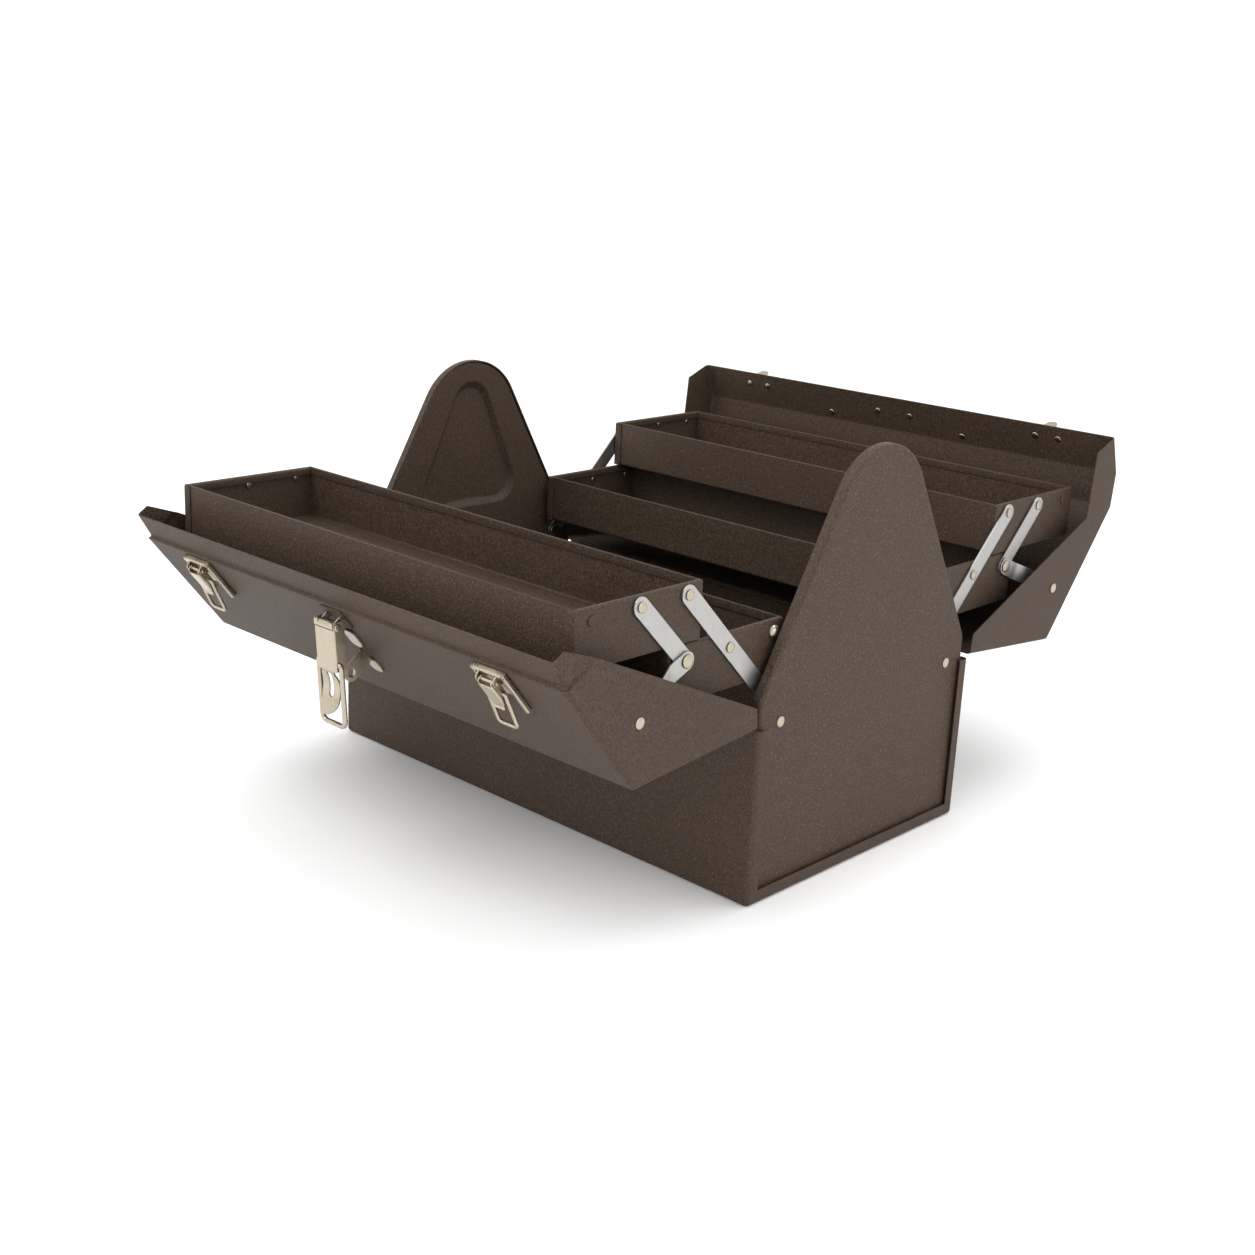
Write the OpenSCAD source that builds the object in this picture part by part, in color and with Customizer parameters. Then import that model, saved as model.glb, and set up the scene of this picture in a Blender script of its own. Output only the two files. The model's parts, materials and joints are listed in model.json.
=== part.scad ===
// Cantilever toolbox: a steel base, two hinged lids and four trays that swing out as the lids open.
// The origin is at the middle of the base's underside, X runs along the box, front is -Y.
// The model is drawn open. Front and rear are mirror images, so each is drawn at +Y and mirrored.

/* [Box] */
// Length over the end flanges
box_l = 508; // [460:1:560]
// Depth of the base
base_d = 288; // [286:0.5:292]
// Height of the base walls
base_h = 147; // [146:0.1:147.2]
// Thickness of the body sheet
sheet = 1.2; // [1:0.1:1.3]
// Width of the band that frames each end
end_band = 12; // [8:1:14]
// Outer radius of the base's bent edges
edge_r = 4; // [3:0.5:4]

/* [Ears] */
// Height of the top of the ears
ear_top = 352; // [346:0.5:354]
// Radius of the ears' rounded top
ear_r = 60; // [54:1:64]
// Half width of an ear above the base
ear_half = 139.5; // [138:0.5:141]
// Height where an ear starts to slope
ear_knee = 168; // [160:1:175]
// Depth of the rim turned inwards
rim_depth = 8.8; // [8:0.1:9]
// Depth of the pressed pocket in the ear's liner
pocket_depth = 5; // [3:0.5:5]

/* [Lids] */
// Swing of each lid from closed to open
lid_swing = 95.5; // [94:0.5:96]
// Height of a lid's vertical wall above its hinge
lid_wall = 138; // [138:0.5:140]
// Slope of the roof when closed
roof_slope = 33.5; // [33:0.5:35]
// Length of the front lid's roof up to its fold
front_roof = 116; // [115:0.5:116]
// Length of the rear lid's roof up to the ridge
rear_roof = 147; // [146:0.5:148]
// Width of the lip that tucks under the rear lid
lip_w = 22; // [16:1:23]

/* [Trays] */
// Length of a tray over its end plates
tray_l = 470; // [440:1:470]
// Width of a tray
tray_w = 129.5; // [126:0.5:129.5]
// Height of a tray
tray_h = 45; // [40:0.5:45]
// Thickness of the tray sheet
tray_t = 1; // [0.8:0.1:1.1]
// Width of the hem along a tray's long edges
hem_w = 7; // [4:0.5:9]

/* [Links] */
// Distance between neighbouring pivots of the long links
link_pitch = 69.5; // [69:0.1:70]
// Width of a link
link_w = 15; // [12:0.5:15.5]
// Thickness of a link
link_t = 1.6; // [1.2:0.1:1.6]
// Swing of the long links while a lid closes
link_swing = 90; // [88:0.5:90]

/* [Latches] */
// Distance of the side latches from the middle
latch_x = 179; // [160:1:185]
// Wire radius of the side latches' bails
side_wire = 1.5; // [1:0.1:1.6]
// Wire radius of the hasp's bail
hasp_wire = 2; // [1.5:0.1:2.2]
// Radius of the padlock hole
padlock_r = 3.5; // [3:0.1:3.8]

/* [Handle] */
// Distance of each handle bracket from the middle
handle_x = 82; // [74:1:90]
// Distance from the handle's pivot to the middle of its grip
handle_drop = 42; // [38:0.5:44]

/* [Hidden] */

$fn = 48;
paint = "#5f554b";
zinc = "#bab6ae";
nickel = "#c9b998";
half_l = box_l / 2;
half_d = base_d / 2;
fit = 0.05;

// Hinges: the axis lies on the lid's and the wall's outer face
hinge_y = half_d;
hinge_z = 149.5;
hinge_l = 480;
knuckles = 12;
knuckle_r = 2.2;
hinge_pin_r = 1.1;
leaf_t = 1;
leaf_w = 15;

// Stack of thin pieces between a tray end and the lid's end flange, as distances along X
tray_x = tray_l / 2;
link_x = tray_x + 0.6;
lid_link_x = link_x + link_t + 0.4;
liner_x = half_l - 12;
anchor_x = liner_x - 0.6 - link_t;
panel_x = half_l - 4;
flange_x = half_l - sheet;
lid_link_end_x = flange_x - 1.2 - link_t;

// Pivots at +Y with the lid open: [y, z]
anchor = [116.2, 166];
open_angle = link_swing / 2;
lower_pivot = anchor + link_pitch * [sin(open_angle), cos(open_angle)];
upper_pivot = lower_pivot + link_pitch * [sin(open_angle), cos(open_angle)];
pivot_gap = 50;
lower_outer_pivot = lower_pivot + [pivot_gap, 0];
upper_outer_pivot = upper_pivot + [pivot_gap, 0];
lid_pivot = [279.3, 187.2];
pivot_r = 2.5;

// Trays: centre and underside of each, at +Y with the lid open
lower_centre = lower_pivot[0];
upper_centre = upper_pivot[0] + pivot_gap - 1.5;
lower_floor = lower_pivot[1] + 11.5 - tray_h;
upper_floor = lower_floor + 46.2;

// Closed lid profile at +Y
corner = [half_d, hinge_z + lid_wall];
up_roof = [-cos(roof_slope), sin(roof_slope)];
off_roof = [sin(roof_slope), cos(roof_slope)];
fold = corner + front_roof * up_roof;
ridge_rear = corner + rear_roof * up_roof;
ridge_front = [-12, ridge_rear[1]];
rear_tip = [-46, 352.2];
nose_slope = atan2(ridge_front[1] - rear_tip[1], ridge_front[0] - rear_tip[0]);
lid_foot = hinge_z + 3;
flange_foot = [half_d - 18.5, lid_foot];
front_flange_end = [33, 319];
rear_flange_end = [30, 323];

// Hasp and latches, measured down the front roof from its fold and outwards from its face
hasp_pin = [11.5, 10.2];
hasp_rest = lid_swing - roof_slope - 27.5;
hasp_pin_r = 1.5;
hasp_lug_r = 2.7;
hasp_half = 11.8;
hasp_body = 35.5;
hasp_face = 2.9;
hasp_side = 6.7;
tongue_tip = 71;
tongue_r = 10.5;
tongue_rise = 4;
tongue_bow = 5.5;
hasp_bail_at = [30, 0.5];
hasp_bail_l = 51;
staple = [51, 66];
staple_h = 27;
padlock_at = [58.5, 20.5];
latch_pin = [9.5, 7];
latch_pin_r = 1.5;
latch_half = 7.2;
latch_length = 25;
latch_bail_at = 12;
latch_bail_l = 31;
latch_bail_rest = 13;
latch_base_l = 41;
latch_base_h = 4.5;
latch_base_half = 17;
latch_lip = 3;

// Rivets through the rear lid's nose, as [x, distance from its tip]
strike_x = 180;
nose_rivets = [for (s = [-1, 1]) for (dx = [-12.6, 12.6]) [s * strike_x + dx, 13],
               [-20, 18], [20, 18], [-handle_x, 30], [handle_x, 30]];
hardware_r = 2;
eye = [4.7, 8];
handle_rod = 3;

function turned(p, a) = [p[0] * cos(a) - p[1] * sin(a), p[0] * sin(a) + p[1] * cos(a)];
function on_roof(s, off) = corner + s * up_roof + off * off_roof;
function line_offset(p, q, t) = let (d = (q - p) / norm(q - p)) p + t * [-d[1], d[0]];
function meet(p, u, q, v) = p + u * ((q - p)[0] * v[1] - (q - p)[1] * v[0]) / (u[0] * v[1] - u[1] * v[0]);
// Points of a polyline moved t to its left, with mitred corners
function inner_line(pts, t) = [for (i = [0:len(pts) - 1])
    i == 0 ? line_offset(pts[0], pts[1], t)
    : i == len(pts) - 1 ? line_offset(pts[i - 1], pts[i], t) + pts[i] - pts[i - 1]
    : meet(line_offset(pts[i - 1], pts[i], t), pts[i] - pts[i - 1],
           line_offset(pts[i], pts[i + 1], t), pts[i + 1] - pts[i])];
function reversed(pts) = [for (i = [len(pts) - 1:-1:0]) pts[i]];

// Draws at +Y for the rear, mirrored for the front
module on_side(side) mirror([0, side == "front" ? 1 : 0, 0]) children();
module on_end(end) mirror([end == "left" ? 1 : 0, 0, 0]) children();
module both_ends() for (end = ["left", "right"]) on_end(end) children();
// Extrudes a [y, z] outline along X from x to x + t
module plate(x, t) translate([x, 0, 0]) rotate([90, 0, 90]) linear_extrude(t) children();
module rod_x(x0, x1, r, at) translate([x0, at[0], at[1]]) rotate([0, 90, 0]) cylinder(h = x1 - x0, r = r);
// Carries a closed lid, drawn at +Y, to its open place
module opened() translate([0, hinge_y, hinge_z]) rotate([-lid_swing, 0, 0]) translate([0, -hinge_y, -hinge_z])
    children();
// Local frame on the front roof: Y down from the fold, Z outwards
module on_front_roof() on_side("front") opened() translate([0, fold[0], fold[1]]) rotate([-roof_slope, 0, 0])
    children();
// Local frame on the rear lid's nose: Y from its tip, Z outwards
module on_nose() opened() translate([0, rear_tip[0], rear_tip[1]]) rotate([nose_slope, 0, 0]) children();

module rounded_rect(w, h, r) {
    square([w - 2 * r, h], center = true);
    square([w, h - 2 * r], center = true);
    for (sx = [-1, 1], sy = [-1, 1]) translate([sx * (w / 2 - r), sy * (h / 2 - r)]) circle(r);
}

module base_block(inset, bottom) intersection() {
    translate([0, 0, bottom]) linear_extrude(base_h + inset)
        rounded_rect(box_l - 2 * inset, base_d - 2 * inset, edge_r - inset);
    plate(-half_l, box_l) translate([0, base_h]) rounded_rect(base_d - 2 * inset, 2 * (base_h - inset), edge_r - inset);
}

module base_shell() color(paint) difference() {
    intersection() {
        base_block(0, 0);
        translate([-half_l, -half_d, 0]) cube([box_l, base_d, base_h]);
    }
    base_block(sheet, sheet);
    both_ends() translate([half_l - edge_r - 4, -half_d + end_band, end_band])
        cube([edge_r + 5, base_d - 2 * end_band, base_h]);
}

// Ear and end panel outline, moved inwards by k
ear_c = ear_top - ear_r;
knee_dist = norm([ear_half, ear_c - ear_knee]);
slope_angle = 180 - atan2(ear_c - ear_knee, ear_half) - asin(ear_r / knee_dist);
ear_lean = slope_angle - 90;
module ear_outline(k, bottom, low_half) {
    knee = [ear_half - k, ear_knee - k * tan(ear_lean / 2)];
    right = [[low_half, bottom], [low_half, base_h - 1 - k], [ear_half - k, base_h - 1 - k], knee];
    arc = [for (i = [0:32]) let (a = ear_lean + (180 - 2 * ear_lean) * i / 32)
        [(ear_r - k) * cos(a), ear_c + (ear_r - k) * sin(a)]];
    polygon(concat(right, arc, reversed([for (p = right) [-p[0], p[1]]])));
}

module end_panel(end) color(paint) on_end(end) difference() {
    plate(panel_x - rim_depth, rim_depth) ear_outline(0, sheet, half_d - sheet);
    plate(panel_x - rim_depth - 1, rim_depth + 1 - sheet) ear_outline(sheet, 2 * sheet, half_d - 2 * sheet);
    plate(panel_x - rim_depth - 1, rim_depth + 2) panel_corners();
    for (s = [-1, 1]) rod_x(panel_x - 2, panel_x + 1, pivot_r, [s * ear_rivet[0], ear_rivet[1]]);
}
ear_rivet = [114, 148];
// Corners cleared for the base's bent edges
module panel_corners() for (s = [-1, 1]) translate([s * (half_d - sheet), sheet]) rotate(45) square(edge_r, center = true);

module pocket(r, h, x) plate(x, h) hull() {
    translate([0, 304]) circle(r + 4, $fn = 40);
    for (s = [-1, 1]) translate([s * 44, 228]) circle(r, $fn = 40);
}
pocket_r = 20;
module ear_liner(end) color(paint) on_end(end) difference() {
    union() {
        difference() {
            plate(liner_x, sheet) ear_outline(sheet + 0.2, 96, ear_half - sheet - 0.2);
            pocket(pocket_r, sheet + 2, liner_x - 1);
        }
        difference() {
            pocket(pocket_r + sheet, pocket_depth + sheet, liner_x);
            pocket(pocket_r, pocket_depth + 1, liner_x - 1);
        }
    }
    for (s = [-1, 1]) {
        rod_x(liner_x - 1, liner_x + sheet + 1, pivot_r, [s * ear_rivet[0], ear_rivet[1]]);
        rod_x(liner_x - 1, liner_x + sheet + 1, 3, [s * anchor[0], anchor[1]]);
    }
}

module ear_rivets() color(nickel) both_ends() for (s = [-1, 1]) {
    at = [s * ear_rivet[0], ear_rivet[1]];
    rod_x(panel_x, panel_x + 1.2, 4.5, at);
    rod_x(liner_x - 1, panel_x, pivot_r, at);
    rod_x(liner_x - 1.2, liner_x, 4, at);
}

// Pins that carry the long links on the ear liners
module link_anchor_pins() color(nickel) both_ends() for (s = [-1, 1]) {
    at = [s * anchor[0], anchor[1]];
    rod_x(anchor_x - 1.6, anchor_x - 0.2, 5, at);
    rod_x(anchor_x - 1, liner_x + sheet, 3, at);
    rod_x(liner_x - 0.5, liner_x, 5, at);
    rod_x(liner_x + sheet, liner_x + sheet + 1.2, 4.5, at);
}

// Hinges along both long walls
knuckle_l = hinge_l / knuckles;
module hinge_strip(odd) for (i = [0:knuckles - 1]) if (i % 2 == odd)
    translate([-hinge_l / 2 + i * knuckle_l + 0.2, 0, 0]) children();
module knuckle() rod_x(0, knuckle_l - 0.4, knuckle_r, [hinge_y, hinge_z]);
module hinge_bore() rod_x(-half_l, half_l, hinge_pin_r + fit, [hinge_y, hinge_z]);
leaf_y = half_d - sheet - leaf_t;
leaf_rise = hinge_z - knuckle_r - 0.3 - base_h;
module hinge_base_leaf(side) color(paint) on_side(side) difference() {
    union() {
        translate([-hinge_l / 2, leaf_y, base_h - leaf_w]) cube([hinge_l, leaf_t, leaf_w + leaf_rise]);
        hinge_strip(0) {
            knuckle();
            translate([0, leaf_y, base_h - 1]) cube([knuckle_l - 0.4, leaf_t, hinge_z - base_h + 1]);
        }
    }
    hinge_bore();
}
module hinge_lid_leaf(side) color(paint) on_side(side) opened() difference() {
    union() {
        translate([-hinge_l / 2, leaf_y, lid_foot]) cube([hinge_l, leaf_t, leaf_w]);
        hinge_strip(1) {
            knuckle();
            translate([0, leaf_y, hinge_z]) cube([knuckle_l - 0.4, leaf_t, lid_foot - hinge_z + 1]);
        }
    }
    hinge_bore();
}
module hinge_pin(side) color(zinc) on_side(side) rod_x(-hinge_l / 2, hinge_l / 2, hinge_pin_r, [hinge_y, hinge_z]);

// Lids, drawn closed and carried to their open place
jog = 3;
nose_bend = roof_slope - nose_slope;
lip_dir = turned([1, 0], -nose_bend);
lip_side = turned([0, -1], -nose_bend) * sheet;
lip_root = [front_roof, -jog];
module front_roof_profile() polygon([[half_d, lid_foot], corner, fold, on_roof(front_roof, -jog - sheet),
    on_roof(front_roof - sheet, -jog - sheet), on_roof(front_roof - sheet, -sheet),
    on_roof(sheet * tan(45 - roof_slope / 2), -sheet), [half_d - sheet, lid_foot]]);
module lip_profile() {
    points = [[front_roof - sheet / 2, -jog], lip_root, lip_root + lip_w * lip_dir,
              lip_root + lip_w * lip_dir + lip_side, [front_roof - sheet / 2, -jog - sheet]];
    polygon([for (p = points) on_roof(p[0], p[1])]);
}
tab_x = flange_x - 0.4 - sheet;
tab_end = on_roof(front_roof + 21, -18);
module front_lid() color(paint) on_side("front") opened() difference() {
    union() {
        plate(-half_l, box_l) front_roof_profile();
        plate(-tab_x - sheet, 2 * (tab_x + sheet)) lip_profile();
        both_ends() {
            plate(flange_x, sheet) polygon([flange_foot, [half_d, lid_foot], corner, fold, front_flange_end]);
            plate(tab_x, sheet) polygon([on_roof(front_roof, -jog - sheet / 2), on_roof(front_roof + 21, -jog - 3),
                                         tab_end, front_flange_end]);
            plate(tab_x, half_l - tab_x) polygon([on_roof(front_roof - 0.3, -0.6), front_flange_end + [-0.2, 0.5],
                front_flange_end + [1.6, -1], on_roof(front_roof - 2.1, -0.6)]);
        }
    }
    lid_rivet_holes();
}
module lid_rivet_holes() both_ends()
    rod_x(flange_x - 1, half_l + 1, pivot_r, closed_lid_pivot);
closed_lid_pivot = [hinge_y, hinge_z] + turned(lid_pivot - [hinge_y, hinge_z], lid_swing);

rear_outer = [[half_d, lid_foot], corner, ridge_rear, ridge_front, rear_tip];
module rear_lid() color(paint) opened() difference() {
    union() {
        plate(-half_l, box_l) polygon(concat(rear_outer, reversed(inner_line(rear_outer, sheet))));
        both_ends() plate(flange_x, sheet) polygon(concat(rear_outer, [[-31, rear_flange_end[1]], rear_flange_end,
                                                                       flange_foot]));
    }
    lid_rivet_holes();
    translate([0, rear_tip[0], rear_tip[1]]) rotate([nose_slope, 0, 0]) nose_holes();
}
module nose_holes() for (p = nose_rivets) translate([p[0], p[1], -3]) cylinder(h = 6, r = hardware_r);

module lid_link_rivets(side) color(nickel) on_side(side) both_ends() {
    rod_x(half_l, half_l + 1.2, 4.5, lid_pivot);
    rod_x(flange_x - 0.5, half_l, pivot_r, lid_pivot);
    rod_x(flange_x - 0.8, flange_x, 4, lid_pivot);
}

// Trays
module tray_section() difference() {
    union() {
        difference() {
            translate([-tray_w / 2, 0]) square([tray_w, tray_h]);
            translate([-tray_w / 2 + tray_t, tray_t]) square([tray_w - 2 * tray_t, tray_h]);
        }
        for (s = [-1, 1]) translate([s * (tray_w / 2 - 1.1 * tray_t) - tray_t, tray_h - hem_w])
            square([2 * tray_t, hem_w]);
    }
}
function tray_at(level) = level == "lower" ? [lower_centre, lower_floor] : [upper_centre, upper_floor];
function tray_pivots(level) = level == "lower" ? [lower_pivot, lower_outer_pivot]
                                               : [upper_pivot, upper_outer_pivot];
// The lower trays carry a dome stop by their inner edge, the upper ones a flat rivet by their outer edge
function tray_stop(level) = level == "lower" ? [lower_centre - tray_w / 2 + 11, lower_floor + tray_h - 10]
                                             : [upper_centre + tray_w / 2 - 16, upper_floor + tray_h - 10];
tray_side = tray_x - tray_t;
tab_w = 9;
module tray_pan(side, level) color(paint) on_side(side)
    plate(-tray_side, 2 * tray_side) translate(tray_at(level)) tray_section();
module tray_end(side, level, end) color(paint) on_side(side) on_end(end) difference() {
    at = tray_at(level);
    union() {
        plate(tray_side, tray_t) translate(at) translate([-tray_w / 2 - tray_t, 0])
            square([tray_w + 2 * tray_t, tray_h]);
        plate(tray_side - tray_t, tray_t) translate(at) translate([-tray_w / 2 + 3 * tray_t, tray_h - hem_w])
            square([tray_w - 6 * tray_t, hem_w - 0.5]);
        for (s = [0, 1]) plate(tray_side - tab_w, tab_w) translate(at)
            translate([s == 0 ? -tray_w / 2 - tray_t : tray_w / 2, 0]) square([tray_t, tray_h]);
    }
    for (p = concat(tray_pivots(level), [tray_stop(level)])) rod_x(tray_side - 3, tray_x + 1, pivot_r, p);
}
module pivot_rivet(at, head_x, head_r) {
    rod_x(tray_side - tray_t - 1.2, tray_side - tray_t, 4, at);
    rod_x(tray_side - tray_t, head_x, pivot_r, at);
    rod_x(tray_x, tray_x + 0.5, 4, at);
    rod_x(head_x, head_x + 1.4, head_r, at);
}
module dome_rivet(at, r, h) {
    ball = (r * r + h * h) / (2 * h);
    rise = asin(r / ball);
    rod_x(tray_side - tray_t - 1, tray_x, pivot_r, at);
    rod_x(tray_side - tray_t - 1.2, tray_side - tray_t, 4, at);
    translate([tray_x, at[0], at[1]]) rotate([0, 90, 0]) rotate_extrude()
        polygon(concat([[0, 0]], [for (i = [0:8]) let (a = rise * (1 - i / 8)) [ball * sin(a), ball * cos(a) + h - ball]]));
}
module tray_rivets(side, level) color(nickel) on_side(side) both_ends() {
    pivots = tray_pivots(level);
    pivot_rivet(pivots[0], link_x + link_t + 0.2, 4.2);
    if (level == "lower") {
        pivot_rivet(pivots[1], lid_link_x + link_t + 0.2, 5.5);
        dome_rivet(tray_stop(level), 5.5, 4);
    } else {
        pivot_rivet(pivots[1], link_x + link_t + 0.2, 4.2);
        dome_rivet(tray_stop(level), 4, 1.2);
    }
}

// Links: drawn upright from their lower pivot and leant outwards by lean
module link_bar(from, lean, length, bores, bore_r, steps) translate([0, from[0], from[1]]) rotate([-lean, 0, 0])
    difference() {
        intersection() {
            plate(tray_x, half_l - tray_x) {
                for (z = [0, length]) translate([0, z]) circle(link_w / 2);
                translate([-link_w / 2, 0]) square([link_w, length]);
            }
            translate([0, link_w / 2 + 1, 0]) rotate([90, 0, 0]) linear_extrude(link_w + 2) polygon(concat(
                [for (p = steps) [p[1], p[0]]], reversed([for (p = steps) [p[1] + link_t, p[0]]])));
        }
        for (i = [0:len(bores) - 1]) rod_x(0, half_l, bore_r[i], [0, bores[i]]);
    }
module long_links(side) color(zinc) on_side(side) both_ends() link_bar(anchor, open_angle, 2 * link_pitch,
    [0, link_pitch, 2 * link_pitch], [3 + fit, pivot_r + fit, pivot_r + fit],
    [[-link_w, anchor_x], [7, anchor_x], [19, link_x], [2 * link_pitch + link_w, link_x]]);
module short_links(side) color(zinc) on_side(side) both_ends() link_bar(lower_outer_pivot, open_angle, link_pitch,
    [0, link_pitch], [pivot_r + fit, pivot_r + fit], [[-link_w, link_x], [link_pitch + link_w, link_x]]);
lid_link_run = lid_pivot - lower_outer_pivot;
lid_link_l = norm(lid_link_run);
module lid_links(side) color(zinc) on_side(side) both_ends() link_bar(lower_outer_pivot,
    atan2(lid_link_run[0], lid_link_run[1]), lid_link_l, [0, lid_link_l], [pivot_r + fit, pivot_r + 0.5],
    [[-link_w, lid_link_x], [18, lid_link_x], [50, lid_link_end_x], [lid_link_l + link_w, lid_link_end_x]]);

// Wire bail: two legs along +Y from its pivots, a cross wire, and ends turned inwards
module bail(half_w, length, r, inner) {
    for (s = [-1, 1]) {
        rod_x(min(s * inner, s * half_w), max(s * inner, s * half_w), r, [0, 0]);
        translate([s * half_w, 0, 0]) rotate([-90, 0, 0]) cylinder(h = length, r = r);
        for (y = [0, length]) translate([s * half_w, y, 0]) sphere(r);
    }
    rod_x(-half_w, half_w, r, [length, 0]);
}

// Side draw latches
module latch_at(end) on_front_roof() translate([end == "left" ? -latch_x : latch_x, 0, 0]) children();
module latch_base(end) color(nickel) latch_at(end) difference() {
    union() {
        translate([-latch_base_half, 3, 0]) cube([2 * latch_base_half, latch_base_l, 1.2]);
        for (s = [-1, 1]) {
            translate([s > 0 ? latch_base_half - 1.2 : -latch_base_half, 3, 0])
                cube([1.2, latch_base_l, latch_base_h]);
            translate([s > 0 ? latch_base_half - latch_lip : -latch_base_half, 3, latch_base_h - 1.2])
                cube([latch_lip, latch_base_l, 1.2]);
            translate([s > 0 ? latch_half + 1 : -latch_half - 2.2, 4, 0]) cube([1.2, 10, 10]);
        }
        translate([-latch_base_half, 3, 0]) cube([2 * latch_base_half, 1.2, latch_base_h]);
    }
    rod_x(-latch_half - 5, latch_half + 5, latch_pin_r, latch_pin);
}
module latch_pins() color(nickel) {
    for (end = ["left", "right"]) latch_at(end) rod_x(-latch_half - 3, latch_half + 3, latch_pin_r, latch_pin);
    on_front_roof() rod_x(-hasp_half - 0.2, hasp_half + 0.2, hasp_pin_r, hasp_pin);
}
module latch_lever(end) color(nickel) latch_at(end) translate([0, latch_pin[0], latch_pin[1]]) difference() {
    union() {
        translate([-latch_half, 1, 3.4]) cube([2 * latch_half, latch_length - 1, 1.2]);
        for (s = [-1, 1]) translate([s > 0 ? latch_half - 1.2 : -latch_half, -2, -3]) cube([1.2, latch_length - 5, 7.6]);
    }
    rod_x(-latch_half - 1, latch_half + 1, latch_pin_r + fit, [0, 0]);
    rod_x(-latch_half - 1, latch_half + 1, side_wire + fit, [latch_bail_at, 0]);
}
module latch_bail(end) color(nickel) latch_at(end) translate([0, latch_pin[0] + latch_bail_at, latch_pin[1]])
    rotate([latch_bail_rest, 0, 0]) bail(latch_half + 2.5, latch_bail_l, side_wire, latch_half - 2);

// Centre hasp: a padlockable draw latch
module hasp_bracket() color(nickel) on_front_roof() difference() {
    union() {
        translate([-13, 3, 0]) cube([26, 20, 1.5]);
        for (s = [-1, 1]) plate(s > 0 ? 7.5 : -9, 1.5) {
            translate([hasp_pin[0] - hasp_lug_r, 0]) square([2 * hasp_lug_r, hasp_pin[1]]);
            translate(hasp_pin) circle(hasp_lug_r);
        }
    }
    rod_x(-hasp_half, hasp_half, hasp_pin_r, hasp_pin);
}
module hasp_staple() color(nickel) on_front_roof() difference() {
    union() {
        translate([-7, 30, 0]) cube([14, 52, 1.5]);
        translate([-1.25, staple[0], 0]) cube([2.5, staple[1] - staple[0], staple_h]);
    }
    rod_x(-10, 10, padlock_r, padlock_at);
}
module hasp_frame() on_front_roof() translate([0, hasp_pin[0], hasp_pin[1]]) rotate([hasp_rest, 0, 0]) children();
module hasp_lever() color(nickel) hasp_frame() difference() {
    union() {
        translate([-hasp_half, -4.5, hasp_face]) cube([2 * hasp_half, hasp_body + 4.5, 1.5]);
        for (s = [-1, 1]) translate([s > 0 ? hasp_half - 1.5 : -hasp_half, -4.5, -hasp_side])
            cube([1.5, hasp_body + 4.5, hasp_side + hasp_face + 1.5]);
        intersection() {
            plate(-tongue_r, 2 * tongue_r) polygon(concat([for (i = [0:12]) tongue_at(i / 12, 0)],
                                                          [for (i = [12:-1:0]) tongue_at(i / 12, 1.5)]));
            translate([0, 0, -10]) linear_extrude(30) tongue_outline();
        }
    }
    rod_x(-hasp_half - 1, hasp_half + 1, hasp_pin_r + fit, [0, 0]);
    rod_x(-hasp_half - 1, hasp_half + 1, hasp_wire + fit, hasp_bail_at);
    translate([-2.75, hasp_body + 2, -10]) cube([5.5, 21, 30]);
}
tongue_from = hasp_body - 1.5;
// A point of the bowed tongue, t from 0 at its root to 1 at its tip
function tongue_at(t, lift) = [tongue_from + t * (tongue_tip - tongue_from),
    hasp_face + tongue_rise * t - 4 * tongue_bow * t * (1 - t) + lift];
module tongue_outline() {
    translate([-7, tongue_from]) square([14, 14]);
    translate([-tongue_r, tongue_from + 13]) square([2 * tongue_r, tongue_tip - tongue_from - 13 - tongue_r]);
    translate([0, tongue_from + 13]) circle(tongue_r);
    translate([0, tongue_tip - tongue_r]) circle(tongue_r);
}
module hasp_bail() color(nickel) hasp_frame() translate([0, hasp_bail_at[0], hasp_bail_at[1]])
    bail(hasp_half + 2.3, hasp_bail_l, hasp_wire, hasp_half - 2.5);

// Hardware on the rear lid's nose and ridge
module strikes() color(nickel) on_nose() for (s = [-1, 1]) translate([s * strike_x, 0, 0]) difference() {
    union() {
        translate([-22, 3, 0]) cube([44, 19, 1.5]);
        translate([0, 5.5, 0]) rotate([90, 0, 0]) linear_extrude(2) {
            translate([0, 9.5]) circle(4.5);
            polygon([[-8, 0], [8, 0], [4.5, 9.5], [-4.5, 9.5]]);
        }
    }
    for (dx = [-12.6, 12.6]) translate([dx, 13, -3]) cylinder(h = 6, r = hardware_r);
}
module lock_plate() color(nickel) on_nose() difference() {
    union() {
        translate([-28, 5, 0]) cube([56, 20, 1.5]);
        translate([-11, 5, 0]) cube([22, 1.5, 8]);
        translate([-11, 5, 6.5]) cube([22, 4, 1.5]);
    }
    nose_holes();
}
module rear_lid_rivets() color(nickel) on_nose() for (p = nose_rivets) translate([p[0], p[1], 0]) {
    translate([0, 0, -sheet - 1]) cylinder(h = 1, r = 3.4);
    translate([0, 0, -sheet - 0.2]) cylinder(h = sheet + 1.7, r = hardware_r);
    translate([0, 0, 1.5]) cylinder(h = 1, r = 3.4);
}

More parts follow.
